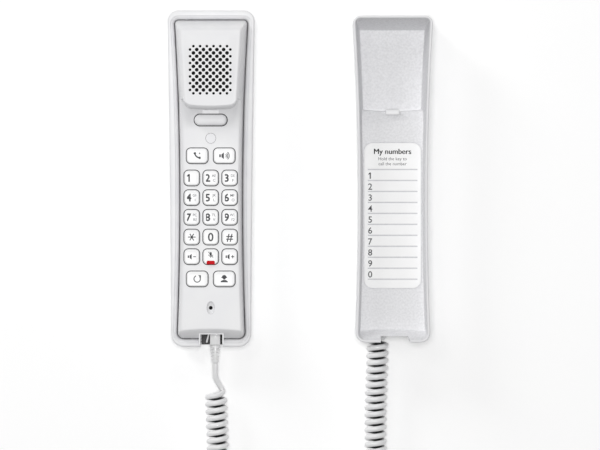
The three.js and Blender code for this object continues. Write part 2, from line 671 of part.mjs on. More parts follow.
// Every key: its name, place and width. Wide keys come in pairs, the others in rows of three.
function keyTable() {
  const keys = [];
  const pair = (y, names) => names.forEach((name, i) => {
    keys.push({ name, x: WIDE_KEY_X * (2 * i - 1), y, width: WIDE_KEY_WIDTH });
  });
  const row = (y, names) => names.forEach((name, i) => {
    keys.push({ name, x: KEY_PITCH * (i - 1), y, width: KEY_WIDTH });
  });
  pair(TALK_ROW_Y, ['key_talk', 'key_speaker']);
  const rows = [
    ['key_1', 'key_2', 'key_3'],
    ['key_4', 'key_5', 'key_6'],
    ['key_7', 'key_8', 'key_9'],
    ['key_star', 'key_0', 'key_hash'],
    ['key_volume_down', 'key_mute', 'key_volume_up'],
  ];
  rows.forEach((names, i) => row(DIGIT_ROWS_Y[i], names));
  pair(SERVICE_ROW_Y, ['key_redial', 'key_service']);
  return keys;
}

function keyHole(key) {
  const plan = keyPlan(key.width + 2 * KEY_GAP, KEY_LENGTH + 2 * KEY_GAP, KEY_RADIUS + KEY_GAP);
  return loft([ring(plan, FACE_Z - FACE_RADIUS - FRONT_WALL), ring(plan, FACE_Z + PROUD)])
    .translate([key.x, key.y, 0]);
}

function lightCut(clearance) {
  const { width, length, height } = MUTE_LIGHT;
  const low = -KEY_LENGTH / 2;
  return box(-width / 2 - clearance, width / 2 + clearance, low - PROUD, low + length + clearance,
    FACE_Z + KEY_PROUD - height - clearance, HIGH);
}

function keyCap(key) {
  const plan = keyPlan(key.width, KEY_LENGTH, KEY_RADIUS);
  const top = FACE_Z + KEY_PROUD;
  const cap = loft([
    ring(plan, FACE_Z - KEY_DEPTH),
    ring(plan, top - KEY_EDGE),
    ring(plan, top, KEY_EDGE),
  ]);
  return key.name === 'key_mute' ? cap.subtract(lightCut(SEAT)) : cap;
}

function muteLight() {
  const { width, length, height } = MUTE_LIGHT;
  const low = -KEY_LENGTH / 2;
  const top = FACE_Z + KEY_PROUD;
  return box(-width / 2, width / 2, low, low + length, top - height, top);
}

function hookPlan(clearance) {
  return keyPlan(HOOK.width + 2 * clearance, HOOK.length + 2 * clearance, HOOK.length / 2 + clearance);
}

function frontShell() {
  let shell = keypadFace(0).add(ramp(0)).add(earpiece(0));
  shell = shell.subtract(keypadFace(FRONT_WALL)).subtract(earpiece(FRONT_WALL))
    .subtract(earpiece(FRONT_WALL).translate([0, 0, -FRONT_SKIRT]));
  for (const [x, y] of handsetScrewPlaces()) {
    const low = HANDSET_SCREW_RECESS + SHELL_WALL + SEAT;
    const high = (y > EARPIECE_BOTTOM ? EARPIECE_Z : FACE_Z) - FRONT_WALL / 2;
    shell = shell.add(disc(HANDSET_PILLAR, x, y, low, high))
      .subtract(disc(SCREW.shank + 2 * FIT, x, y, low - PROUD, low + SCREW.length));
  }
  for (const key of keyTable()) {
    shell = shell.subtract(keyHole(key));
  }
  const hook = loft([ring(hookPlan(KEY_GAP), FACE_Z - FRONT_WALL * 2), ring(hookPlan(KEY_GAP), HIGH)]);
  const slotHalf = TAB_LENGTH / 2 + SLOT.clearance;
  const slotSide = TAB_WIDTH / 2 + SLOT.side;
  const slot = box(-slotSide, slotSide, TAB_Y - slotHalf, TAB_Y + slotHalf,
    SHELL_DEPTH + SLOT.floor, SHELL_DEPTH + SLOT.floor + RAMP_RISE);
  return shell.subtract(hook.translate([0, HOOK.y, 0]))
    .subtract(slot)
    .subtract(disc(LENS.diameter + 2 * FIT, 0, LENS.y, SHELL_DEPTH, HIGH))
    .subtract(disc(MIC.hole, 0, MIC.y, SHELL_DEPTH, HIGH))
    .subtract(jackNotch());
}

function keyMat() {
  const half = KEY_PITCH + KEY_WIDTH / 2 - MAT_INSET;
  const keys = keyTable();
  const low = Math.min(...keys.map((key) => key.y)) - KEY_LENGTH / 2;
  const high = Math.max(...keys.map((key) => key.y)) + KEY_LENGTH / 2;
  const sheetTop = FACE_Z - KEY_DEPTH - FIT - MAT_DOME;
  let mat = box(-half, half, low, high, sheetTop - MAT_SHEET, sheetTop);
  for (const key of keys) {
    const dome = keyPlan(key.width - MAT_MARGIN, KEY_LENGTH - MAT_MARGIN, KEY_RADIUS);
    mat = mat.add(loft([ring(dome, sheetTop - MAT_SHEET / 2), ring(dome, sheetTop + MAT_DOME)])
      .translate([key.x, key.y, 0]));
  }
  return mat;
}

function handsetBoard() {
  const half = KEY_PITCH + KEY_WIDTH / 2 - MAT_INSET;
  const keys = keyTable();
  const low = Math.min(...keys.map((key) => key.y)) - KEY_LENGTH / 2;
  return box(-half, half, low, HOOK.y + HOOK.length, BOARD_Z, BOARD_Z + BOARD_THICKNESS);
}

// The handset's own jack: its pocket opens at the notch, on a tongue that the plug's end lies over.
function handsetJack() {
  const jack = cordJack(HANDSET_PLUG_X, JACK_NOTCH_Y + FIT);
  const tongue = box(JACK_NOTCH_LEFT + FIT, JACK_NOTCH_RIGHT - FIT,
    HANDSET_BOTTOM + PROUD, JACK_NOTCH_Y + PROUD, JACK_NOTCH_FLOOR + SEAT, PLUG_Z - PLUG.height / 2 - FIT);
  return jack.add(tongue);
}

function plugBoot() {
  const start = BOOT_END_Y + BOOT.length;
  const steps = 12;
  const section = (y, width) => {
    const points = [];
    for (let i = 0; i < steps; i++) {
      const a = (i / steps) * 2 * Math.PI;
      points.push(new THREE.Vector3(
        HANDSET_PLUG_X + (width / 2) * Math.cos(a), y, PLUG_Z - (width / 2) * Math.sin(a)));
    }
    return points;
  };
  return loft([
    section(BOOT_END_Y, BOOT.tip),
    section(BOOT_END_Y + BOOT.length / 2, (BOOT.tip + BOOT.end) / 2 + FIT),
    section(start, BOOT.end),
  ]);
}

function buildHandset(group) {
  add(group, 'rear_shell', rearShell(), WHITE_ABS);
  add(group, 'front_shell', frontShell(), WHITE_ABS);
  for (const key of keyTable()) {
    add(group, key.name, keyCap(key), KEY_WHITE, [key.x, key.y, 0]);
    if (key.name === 'key_mute') {
      add(group, 'mute_light', muteLight(), RED_LENS, [key.x, key.y, 0]);
    }
  }
  const hookTop = SHELL_DEPTH + HOOK.proud;
  const hook = loft([
    ring(hookPlan(0), SHELL_DEPTH + HOOK.bottom),
    ring(hookPlan(0), hookTop - KEY_EDGE),
    ring(hookPlan(0), hookTop, KEY_EDGE),
  ]);
  add(group, 'hook_switch_button', hook, WHITE_ABS, [0, HOOK.y, 0]);
  const contactZ = BOARD_Z + BOARD_THICKNESS + SEAT;
  const contact = HOOK_CONTACT.width / 2;
  const hookContact = box(-contact, contact, HOOK.y - contact, HOOK.y + contact,
    contactZ, contactZ + HOOK_CONTACT.height);
  add(group, 'hook_switch_contact', hookContact, BLACK);
  add(group, 'indicator_lens', disc(LENS.diameter, 0, LENS.y, FACE_Z - LENS.depth, FACE_Z), CLEAR_LENS);
  const micTop = FACE_Z - FRONT_WALL - SEAT;
  const micBoot = disc(MIC.diameter + 2 * MIC.boot, 0, MIC.y, micTop - MIC.height, micTop)
    .subtract(disc(MIC.diameter + 2 * SEAT, 0, MIC.y, micTop - MIC.height - PROUD, micTop + PROUD));
  add(group, 'microphone_boot', micBoot, RUBBER);
  add(group, 'microphone', disc(MIC.diameter, 0, MIC.y, micTop - MIC.height, micTop), STEEL);
  add(group, 'key_mat', keyMat(), RUBBER);
  add(group, 'handset_board', handsetBoard(), BOARD_GREEN);
  const feltTop = EARPIECE_Z - FRONT_WALL - SEAT;
  add(group, 'receiver_felt', disc(FELT.diameter, 0, SPEAKER.y, feltTop - FELT.thickness, feltTop), BLACK);
  const speakerTop = feltTop - FELT.thickness - SEAT;
  const cone = disc(SPEAKER.diameter, 0, SPEAKER.y, speakerTop - SPEAKER.height / 2, speakerTop);
  const magnet = disc(SPEAKER.diameter / 2, 0, SPEAKER.y,
    speakerTop - SPEAKER.height, speakerTop - SPEAKER.height / 4);
  add(group, 'receiver_speaker', cone.add(magnet), BLACK);
  const weight = WEIGHT;
  add(group, 'balance_weight',
    box(-weight.width / 2, weight.width / 2, weight.y - weight.length / 2, weight.y + weight.length / 2,
      SHELL_WALL + SEAT, SHELL_WALL + SEAT + weight.height), STEEL);
  add(group, 'handset_cord_jack', handsetJack(), BLACK);
  handsetScrewPlaces().forEach(([x, y], i) => {
    add(group, `handset_screw_${i + 1}`, screw(x, y, HANDSET_SCREW_RECESS - SCREW.headHeight - SEAT), STEEL);
  });
  add(group, 'handset_plug', cordPlug(HANDSET_PLUG_X, HANDSET_PLUG_END_Y), CORD_GREY);
  add(group, 'plug_boot', plugBoot(), CORD_GREY);
}

// ---- everything -------------------------------------------------------------------------------
const widest = (plan) => Math.max(...ring(plan, 0).map((p) => p.x));
const handsetX = -(SPACING + widest(cradlePlan) - widest(handsetPlan)) / 2;
const phone = new THREE.Group();

const handset = new THREE.Group();
handset.position.x = handsetX;
buildHandset(handset);
phone.add(handset);

const cradle = new THREE.Group();
cradle.position.x = handsetX + SPACING;
buildCradle(cradle);
add(cradle, 'cradle_plug', cordPlug(CRADLE_JACK_X, CRADLE_PLUG_END_Y), CORD_GREY);
phone.add(cradle);

// Where the cord leaves the boot, and where it reaches the cradle's plug.
const bootTip = [handset.position.x + HANDSET_PLUG_X, BOOT_END_Y, PLUG_Z];
const plugEnd = [cradle.position.x + CRADLE_JACK_X, CRADLE_PLUG_END_Y, PLUG_Z];
const from = (start, offsets) => offsets.map((offset) => offset.map((value, i) => start[i] + value));

// The coils' axis: down the left arm, round half a turn, and up the right arm.
function coilAxis() {
  const left = from(bootTip, LEFT_ARM);
  const right = from(plugEnd, RIGHT_ARM).reverse();
  const [x0, y0] = left[left.length - 1];
  const [x1, y1] = right[0];
  const half = (x1 - x0) / 2;
  const bend = [];
  for (let i = 1; i < BEND_STEPS; i++) {
    const a = (i / BEND_STEPS) * Math.PI;
    const along = (1 - Math.cos(a)) / 2;
    const y = THREE.MathUtils.lerp(y0, y1, along) - half * Math.sin(a);
    bend.push([THREE.MathUtils.lerp(x0, x1, along), y]);
  }
  return [...left, ...bend, ...right];
}

const handsetLead = tube(from(bootTip, HANDSET_LEAD), LEAD_DIAMETER, LEAD_SIDES, LEAD_STEPS);
const cradleLead = tube(from(plugEnd, CRADLE_LEAD), LEAD_DIAMETER, LEAD_SIDES, TAIL_STEPS);
add(phone, 'handset_lead', handsetLead, CORD_GREY);
add(phone, 'curly_cord', tube(coilAxis(), COIL_DIAMETER, COIL_SIDES, COIL_STEPS), CORD_GREY);
add(phone, 'cradle_lead', cradleLead, CORD_GREY);

export default phone;
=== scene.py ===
"""Slimline wall phone: the looks of the handset, the cradle and the curly cord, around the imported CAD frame.

Sizes are in millimetres until a mesh is made, and places come from the frame's own boxes.
Most pieces are stacks of closed outlines: each outline is a row of points worked out as whole arrays.
"""
from collections import namedtuple

import bpy
import numpy as np
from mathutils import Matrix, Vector


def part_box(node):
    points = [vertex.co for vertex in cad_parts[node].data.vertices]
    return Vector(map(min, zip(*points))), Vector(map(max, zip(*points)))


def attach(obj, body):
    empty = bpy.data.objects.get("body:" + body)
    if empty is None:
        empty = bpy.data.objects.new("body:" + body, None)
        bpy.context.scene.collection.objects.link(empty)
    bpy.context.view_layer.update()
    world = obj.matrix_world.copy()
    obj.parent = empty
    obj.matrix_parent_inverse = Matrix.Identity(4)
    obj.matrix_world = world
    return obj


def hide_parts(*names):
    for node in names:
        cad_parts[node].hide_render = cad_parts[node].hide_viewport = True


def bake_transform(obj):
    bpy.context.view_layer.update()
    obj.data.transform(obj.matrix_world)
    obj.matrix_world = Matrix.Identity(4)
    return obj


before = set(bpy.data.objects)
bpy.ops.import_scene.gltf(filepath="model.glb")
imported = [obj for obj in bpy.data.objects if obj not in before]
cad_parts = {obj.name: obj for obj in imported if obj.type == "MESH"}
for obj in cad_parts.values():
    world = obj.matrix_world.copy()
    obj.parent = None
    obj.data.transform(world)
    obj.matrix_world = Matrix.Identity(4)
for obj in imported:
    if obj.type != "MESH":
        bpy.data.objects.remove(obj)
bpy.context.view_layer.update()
MM = 0.001


def box_mm(node):
    """Lowest and highest corner of a CAD node, in millimetres."""
    low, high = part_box(node)
    return np.array(low) / MM, np.array(high) / MM


def middle(node):
    """Centre of a CAD node's box, in millimetres."""
    low, high = box_mm(node)
    return (low + high) / 2


# ---- sizes --------------------------------------------------------------------------------------
HANDSET_LOW, HANDSET_HIGH = box_mm("rear_shell")
FRONT_HIGH = box_mm("front_shell")[1]
CRADLE_LOW, CRADLE_HIGH = box_mm("cradle_tray")
HANDSET_X = middle("rear_shell")[0]
CRADLE_X = middle("cradle_tray")[0]
KEY_TOP = box_mm("key_5")[1][2]
KEY_PROUD = 1.0
FACE_Z = KEY_TOP - KEY_PROUD
EAR_Z = FRONT_HIGH[2]
SHELL_Z = HANDSET_HIGH[2]
RIM_Z = CRADLE_HIGH[2]
CARD_TOP_Z = box_mm("number_card")[1][2]

CRADLE_WAIST_Y = -13.0
CRADLE_WAIST = 21.5
CRADLE_HEAD = 25.1
CRADLE_FOOT = 23.4
CRADLE_WALL = 1.7
POCKET_Z = 7.4
TRAY_Z = 18.2
SIDE_DRAFT = 2.4
POCKET_END_DRAFT = 6.1
TRAY_END_DRAFT = 5.2
STEP_Y = 43.4
STEP_SOFTNESS = 0.4
ROLL_LENGTH = 13.9
ROLL_DROP = 4.5
TRAY_SKIN = 2.0
FLOOR_FILLET = 0.5
BACK_EDGE = 1.5
BACK_WALL = 2.2
END_ARCH = 1.0

HANDSET_HEAD = 27.2
HANDSET_FOOT = 24.9
HANDSET_TAPER = 1.6
BACK_RADIUS = 7.0
RIM_RADIUS = 0.8
SCREW_RECESS = 3.0
CHANNEL_Z = SHELL_Z - 1.5
GROOVE_Z = SHELL_Z - 4.0
RIM_MARGIN = 0.4
RIM_STEP = 1.2
RIM_EDGE = 0.5
FRONT_LOW_Z = GROOVE_Z - 1.0
SEAM = 0.6
FRONT_INSET = CRADLE_WALL + 0.6
FRONT_WALL = 2.0
FACE_END = 4.4
FACE_EDGE = 1.7
EAR_SIDE = 2.2
EAR_END = 5.6
EAR_EDGE = 1.7
EAR_Y = 43.9
EAR_ROUND = 2.4
BULGE = 1.2
EAR_NARROWING = 0.9
EAR_CORNER = 5.0
EAR_DISH = 0.7
RAMP_LENGTH = 15.0
RAMP_RISE = 4.0

HOOK_Y = middle("hook_switch_button")[1]
LENS_Y = middle("indicator_lens")[1]
MIC_Y = middle("microphone")[1]
SPEAKER_Y = middle("receiver_speaker")[1]
TAB_Y = middle("retaining_tab")[1]
KEY_GAP = 0.5
KEY_RADIUS = 2.6
NOTCH = dict(left=-6.6, right=7.1, end=-97.0, floor=2.6)

STRAND = 3.4
COIL_OUTER = 14.1
COIL_Z = 7.4
COIL_PITCH = 4.65
LEAD_POINTS = [
    (-53.1, -115.7, 8.0), (-53.1, -119.5, 8.0), (-53.0, -124.0, 7.5), (-51.3, -128.2, 6.2),
    (-49.3, -131.6, 4.9),
]
TAIL_POINTS = [(53.0, -98.4, 6.3), (53.05, -96.9, 7.6), (53.05, -95.2, 8.0)]
COIL_POINTS = [
    (-52.7, -134.0), (-52.2, -150), (-51.6, -164), (-51.1, -180), (-47.4, -198.8), (-36.7, -214.8),
    (-20.7, -225.5), (-1.9, -229.2), (16.9, -225.5), (32.9, -214.8), (43.6, -198.8), (47.3, -180),
    (47.4, -165), (47.5, -147), (48.1, -125), (48.6, -110), (48.75, -100.5),
]
SPLIT_X = -14.0


# ---- mesh helpers -------------------------------------------------------------------------------
def mesh_piece(name, points, faces, material, smooth=35):
    """An object whose mesh holds the points, given in millimetres, and the faces, with doubles merged."""
    mesh = bpy.data.meshes.new(name)
    mesh.from_pydata((np.asarray(points) * MM).tolist(), [], [list(face) for face in faces])
    mesh.update()
    obj = bpy.data.objects.new(name, mesh)
    bpy.context.scene.collection.objects.link(obj)
    weld = obj.modifiers.new("weld", "WELD")
    weld.merge_threshold = 0.002 * MM
    settle(obj)
    soften(obj, smooth)
    if material:
        obj.data.materials.append(material)
    return obj


def settle(obj):
    """Applies the modifiers of an object to its mesh."""
    bpy.context.view_layer.update()
    depsgraph = bpy.context.evaluated_depsgraph_get()
    mesh = bpy.data.meshes.new_from_object(obj.evaluated_get(depsgraph), depsgraph=depsgraph)
    obj.modifiers.clear()
    obj.data = mesh


def soften(obj, angle):
    """Smooth shading, with the edges that turn by more than the angle kept crisp."""
    mesh = obj.data
    mesh.polygons.foreach_set("use_smooth", np.ones(len(mesh.polygons), bool))
    mesh.set_sharp_from_angle(angle=np.radians(angle))


def combine(body, tools, operation="DIFFERENCE", smooth=35):
    """Cuts the tools from a body, or joins them to it, and deletes the tools."""
    for tool in tools:
        modifier = body.modifiers.new(tool.name, "BOOLEAN")
        modifier.operation = operation
        modifier.object = tool
        modifier.solver = "EXACT"
    settle(body)
    soften(body, smooth)
    for tool in tools:
        bpy.data.objects.remove(tool)
    return body


def stack(rings, closed_ends=True):
    """Points and faces of equal rings joined one above the other, the ends closed by one face each.

    The rings run anticlockwise seen from the side that the stack ends on."""
    rings = np.asarray(rings, float)
    levels, count = rings.shape[:2]
    k, i = np.meshgrid(np.arange(levels - 1), np.arange(count), indexing="ij")
    j = (i + 1) % count
    corners = [k * count + i, k * count + j, (k + 1) * count + j, (k + 1) * count + i]
    faces = np.stack(corners, -1).reshape(-1, 4).tolist()
    if closed_ends:
        faces.append(list(range(count))[::-1])
        faces.append(list(range((levels - 1) * count, levels * count)))
    return rings.reshape(-1, 3), faces


def merged(parts):
    """Several (points, faces) as one."""
    points, faces, start = [], [], 0
    for part_points, part_faces in parts:
        points.append(np.asarray(part_points, float))
        faces += [[start + v for v in face] for face in part_faces]
        start += len(part_points)
    return np.vstack(points), faces


def lifted(outline, z):
    """A flat outline at height z, which is one number or one for each point."""
    return np.c_[outline, np.broadcast_to(z, len(outline))]


def prism(outline, low, high):
    """The same outline at two heights, joined."""
    return stack([lifted(outline, low), lifted(outline, high)])


def rounded(width, length, radius, x=0.0, y=0.0, steps=6):
    """A rectangle with round corners, anticlockwise: each corner is a quarter circle about its own centre."""
    radius = min(radius, width / 2, length / 2)
    turn = np.linspace(0, np.pi / 2, steps + 1)
    corners = [(1, 1), (-1, 1), (-1, -1), (1, -1)]
    parts = []
    for k, (sx, sy) in enumerate(corners):
        a = turn + k * np.pi / 2
        centre = [sx * (width / 2 - radius), sy * (length / 2 - radius)]
        parts.append(np.c_[centre[0] + radius * np.cos(a), centre[1] + radius * np.sin(a)])
    return np.vstack(parts) + [x, y]


def circle(diameter, x=0.0, y=0.0, steps=16):
    """Points at equal angles on a circle, anticlockwise."""
    a = np.linspace(0, 2 * np.pi, steps, endpoint=False)
    return np.c_[x + diameter / 2 * np.cos(a), y + diameter / 2 * np.sin(a)]


def block(x0, x1, y0, y1, z0, z1):
    """A box between two corners."""
    return prism(np.array([(x0, y0), (x1, y0), (x1, y1), (x0, y1)], float), z0, z1)


def tool(parts):
    """A helper object for combine, which deletes it."""
    return mesh_piece("tool", *merged(parts), None)


# ---- outlines of the two halves -----------------------------------------------------------------
Plan = namedtuple("Plan", "half top bottom top_radius bottom_radius")


def cradle_half(y):
    """The waist's half width, plus a flare that grows with the square of the distance from the waist."""
    y = np.asarray(y, float)
    up = (y - CRADLE_WAIST_Y) / (CRADLE_HIGH[1] - CRADLE_WAIST_Y)
    down = (y - CRADLE_WAIST_Y) / (CRADLE_LOW[1] - CRADLE_WAIST_Y)
    flare = np.where(up > 0, (CRADLE_HEAD - CRADLE_WAIST) * up**2, (CRADLE_FOOT - CRADLE_WAIST) * down**2)
    return CRADLE_WAIST + flare


def handset_half(y):
    """Wide at the top, with a taper to the foot that follows a power of the height."""
    share = (np.asarray(y, float) - HANDSET_LOW[1]) / (HANDSET_HIGH[1] - HANDSET_LOW[1])
    return HANDSET_FOOT + (HANDSET_HEAD - HANDSET_FOOT) * np.clip(share, 0, 1) ** HANDSET_TAPER


CRADLE_PLAN = Plan(cradle_half, CRADLE_HIGH[1], CRADLE_LOW[1], 4.6, 6.0)
HANDSET_PLAN = Plan(handset_half, HANDSET_HIGH[1], HANDSET_LOW[1], 6.5, 8.0)

# Rows of points up the sides, close together where the floor and the face step.
STATIONS = np.concatenate([
    np.linspace(-88, 24, 28), np.linspace(27, 42, 14), np.linspace(42.4, 46.6, 22),
    np.linspace(47.5, 51, 4), np.linspace(54, 88, 9),
])
END_POINTS = 8
LEAST_RADIUS = 0.6


def outline(plan, side=0.0, top=None, bottom=None, arch=0.0):
    """A plan's outline drawn in, anticlockwise from the middle of its bottom edge.

    `side` is the inset of the sides, a number or a function of the row, and `top` and `bottom` are those
    of the ends. Round corners shrink by the inset. The bottom edge rises to an arch at its middle: its
    height falls with the square of the distance across and fades out round the corners."""
    reach = side if callable(side) else (lambda y: side + 0 * np.asarray(y, float))
    top = side if top is None else top
    bottom = side if bottom is None else bottom
    top_radius = max(plan.top_radius - top, LEAST_RADIUS)
    bottom_radius = max(plan.bottom_radius - bottom, LEAST_RADIUS)
    low = plan.bottom + bottom + bottom_radius
    high = plan.top - top - top_radius
    foot = float(plan.half(low) - reach(low)) - bottom_radius
    head = float(plan.half(high) - reach(high)) - top_radius
    turn = np.linspace(0, np.pi / 2, 7)
    bottom_edge = np.c_[np.linspace(0, foot, END_POINTS)[:-1], np.full(END_POINTS - 1, low - bottom_radius)]
    bottom_arc = np.c_[foot + bottom_radius * np.sin(turn), low - bottom_radius * np.cos(turn)]
    rows = np.concatenate([[(low + STATIONS[0]) / 2], STATIONS, [(high + STATIONS[-1]) / 2]])
    sides = np.c_[plan.half(rows) - reach(rows), rows]
    top_arc = np.c_[head + top_radius * np.cos(turn), high + top_radius * np.sin(turn)]
    top_edge = np.c_[np.linspace(head, 0, END_POINTS)[1:], np.full(END_POINTS - 1, high + top_radius)]
    right = np.vstack([bottom_edge, bottom_arc, sides, top_arc, top_edge])
    if arch:
        across = np.clip(1 - (right[:, 0] / foot) ** 2, 0, 1)
        right[:, 1] += arch * across * np.clip((low - right[:, 1]) / bottom_radius, 0, 1)
    return np.vstack([right, right[::-1] * [-1, 1]])


def ring(plan, inset, z):
    """A plan's outline drawn in evenly, at height z."""
    return lifted(outline(plan, inset), z)


def towards_spine(points, share, margin=9.0):
    """An outline moved towards the centre line by a share: at 1 both sides meet on it."""
    low, high = points[:, 1].min() + margin, points[:, 1].max() - margin
    spine = np.c_[np.zeros(len(points)), np.clip(points[:, 1], low, high)]
    return points + (spine - points) * share


def smoothstep(x):
    """Rises from 0 to 1 with level ends: three times the square less twice the cube."""
    x = np.clip(x, 0, 1)
    return x * x * (3 - 2 * x)


BULGE_REACH = 8.0
BULGE_HOLD = 1.5


def bulged(points, step, half, corner=0.0):
    """Points near a step, moved so that it curves: down by the bulge at the centre, and up round its corners.

    The bulge falls with the square of the distance across, and each corner is a quarter circle."""
    across = np.abs(points[:, 0])
    u = np.clip(across / half, 0, 1)
    shift = -BULGE * (1 - u * u)
    if corner:
        past = np.clip(across - (half - corner), 0, corner)
        shift = shift + corner - np.sqrt(corner**2 - past**2)
    near = smoothstep(BULGE_HOLD - np.abs(points[:, 1] - step) / BULGE_REACH)
    return np.c_[points[:, 0], points[:, 1] + shift * near]


# ---- materials ----------------------------------------------------------------------------------
def linear(colour):
    """An sRGB hex colour as linear RGBA."""
    srgb = np.array([int(colour[i:i + 2], 16) for i in (1, 3, 5)]) / 255
    rgb = np.where(srgb <= 0.04045, srgb / 12.92, ((srgb + 0.055) / 1.055) ** 2.4)
    return (*rgb.tolist(), 1.0)


def add(tree, kind, settings=None, **links):
    """A shader node of a kind with its settings; each input is a value or another node's output socket."""
    node = tree.nodes.new(kind)
    for name, value in (settings or {}).items():
        setattr(node, name, value)
    for name, value in links.items():
        socket = node.inputs[int(name[1:])] if name[1:].isdigit() else node.inputs[name.replace("_", " ")]
        if isinstance(value, bpy.types.NodeSocket):
            tree.links.new(value, socket)
        else:
            socket.default_value = value
    return node


def ramp(tree, source, low, high, start=0.35, end=0.65):
    """A colour ramp between two hex colours."""
    node = add(tree, "ShaderNodeValToRGB", None, Fac=source)
    node.color_ramp.elements[0].position = start
    node.color_ramp.elements[1].position = end
    node.color_ramp.elements[0].color = linear(low)
    node.color_ramp.elements[1].color = linear(high)
    return node


def surface(name, **fixed):
    """A material with its Principled shader, whose fixed values sit on its own sockets."""
    material = bpy.data.materials.new(name)
    material.use_nodes = True
    tree = material.node_tree
    shader = tree.nodes["Principled BSDF"]
    for socket, value in fixed.items():
        shader.inputs[socket.replace("_", " ")].default_value = value
    return material, tree, shader


ROUGHNESS_SPREAD = 0.03
BUMP_STRENGTH = 0.6


def grained(name, light, dark, roughness, grain_mm, depth_mm, patch_mm=18.0, **fixed):
    """A moulded surface: a fine eroded grain in the bump, and slow patches in colour and roughness."""
    material, tree, shader = surface(name, **fixed)
    place = add(tree, "ShaderNodeTexCoord").outputs["Object"]
    grain = add(tree, "ShaderNodeTexNoise", None, Vector=place, Scale=1 / (grain_mm * MM),
                Detail=3.0, Roughness=0.6)
    patch = add(tree, "ShaderNodeTexNoise", None, Vector=place, Scale=1 / (patch_mm * MM), Detail=2.0)
    tint = ramp(tree, patch.outputs["Fac"], dark, light)
    tree.links.new(tint.outputs["Color"], shader.inputs["Base Color"])
    gloss = add(tree, "ShaderNodeMapRange", None, Value=patch.outputs["Fac"],
                To_Min=roughness - ROUGHNESS_SPREAD, To_Max=roughness + ROUGHNESS_SPREAD)
    tree.links.new(gloss.outputs["Result"], shader.inputs["Roughness"])
    bump = add(tree, "ShaderNodeBump", None, Height=grain.outputs["Fac"], Distance=depth_mm * MM,
               Strength=BUMP_STRENGTH)
    tree.links.new(bump.outputs["Normal"], shader.inputs["Normal"])
    return material


def moulded_white_abs():
    """ABS from a spark-eroded mould: satin white. Its grain of about 0.3 mm is drawn at 0.45 mm to show."""
    return grained("moulded_white_abs", "#EDEDEE", "#E8E8EA", 0.42, 0.45, 0.012, IOR=1.53)


SPECKLE_MM = 1.3


def white_abs_painted_hollow_shade():
    """The hollow's inner side: the shells' ABS drawn duller, with a speckle of 1.3 mm, and greyer as painted
    shade in the hollow.
    """
    material = grained("white_abs_painted_hollow_shade", "#E4E4E6", "#DEDEE0", 0.55, 0.8, 0.05, IOR=1.5)
    tree = material.node_tree
    place = add(tree, "ShaderNodeTexCoord").outputs["Object"]
    speckle = add(tree, "ShaderNodeTexNoise", None, Vector=place, Scale=1 / (SPECKLE_MM * MM), Detail=2.0)
    # the speckle's colours sit greyer than the shells': painted shade inside the hollow, over the real grain
    tint = ramp(tree, speckle.outputs["Fac"], "#E0E0E2", "#EEEEF0", 0.3, 0.7)
    tree.links.new(tint.outputs["Color"], tree.nodes["Principled BSDF"].inputs["Base Color"])
    return material


def keycap_white_abs():
    """Keycap plastic: whiter and smoother than the shells."""
    return grained("keycap_white_abs", "#FAFAFA", "#F5F5F6", 0.34, 0.35, 0.006, IOR=1.53)


def pad_printed_grey():
    """Pad-printed ink: mid grey, matt, with a faint unevenness in the film."""
    return grained("pad_printed_grey", "#4A4B4E", "#434447", 0.6, 0.3, 0.003, patch_mm=2.0)


def letters_grey():
    """The small letters' ink, thinner and lighter than the digits'."""
    return grained("pad_printed_light_grey", "#77787C", "#6F7074", 0.6, 0.3, 0.003, patch_mm=2.0)


def coated_card():
    """Coated card stock: nearly pure white, with a very fine tooth."""
    return grained("coated_card", "#FFFFFF", "#FBFBFB", 0.55, 0.25, 0.004)


def rule_ink():
    """Light grey printed rules on the card."""
    return grained("rule_ink", "#D6D6D9", "#CECED2", 0.6, 0.25, 0.002, patch_mm=3.0)


def cord_pvc():
    """Soft PVC of the cord's jacket: nearly white, with a slight sheen.

    The coil's inner side is painted dark in place of the shadow between its turns."""
    material = grained("cord_pvc", "#F6F6F6", "#EEEEEF", 0.4, 0.8, 0.02, patch_mm=9.0,
                       IOR=1.5, Coat_Weight=0.1)
    tree = material.node_tree
    base = tree.nodes["Principled BSDF"].inputs["Base Color"]
    inner = add(tree, "ShaderNodeAttribute", {"attribute_name": "inner"}).outputs["Fac"]
    shade = add(tree, "ShaderNodeMix", {"data_type": "RGBA"}, _0=inner, _6=base.links[0].from_socket,
                _7=linear("#29292B"))
    tree.links.new(shade.outputs[2], base)
    return material


def silicone_mat():
    """Silicone rubber of the key mat, seen as the dark line round each key."""
    return grained("silicone_mat", "#6A6B6E", "#5E5F62", 0.7, 0.5, 0.01)


def painted_gap_shade_silicone():
    """The mat's collars, of silicone drawn near black: painted shade in the gaps round the keys and the hook.
    """
    return grained("painted_gap_shade_silicone", "#2E2F32", "#28292C", 0.75, 0.5, 0.01)


def black_nylon():
    """Glass-filled nylon of jacks and housings: dark, dull, with fibre grain."""
    return grained("black_nylon", "#1E1E20", "#151517", 0.5, 0.4, 0.015)


def acoustic_felt():
    """Felt behind the grille: near black, with loose fibres a tenth of a millimetre thick."""
    return grained("acoustic_felt", "#0E0E0F", "#080809", 0.95, 0.15, 0.05, patch_mm=1.5)


def solder_mask():
    """Green solder mask over woven glass: satin, with the weave's half millimetre ripple."""
    return grained("solder_mask", "#2F6B45", "#285E3C", 0.35, 0.5, 0.01)


def zinc_plate():
    """Zinc-plated steel of screws and the weight: bright, with fine handling marks."""
    return grained("zinc_plate", "#C6CACD", "#B4B8BC", 0.32, 0.3, 0.004, patch_mm=3.0, Metallic=1.0)


def red_polycarbonate():
    """Red polycarbonate of the mute light, drawn matt so that it reads as one even red."""
    return grained("red_polycarbonate", "#D80C18", "#C80814", 0.6, 0.4, 0.004, patch_mm=2.0,
                   Specular_IOR_Level=0.15)


def frosted_lens():
    """Frosted polycarbonate of the indicator: light grey, a little glossier than the shell."""
    return grained("frosted_lens", "#D4D4D7", "#CDCDD0", 0.3, 0.3, 0.004)


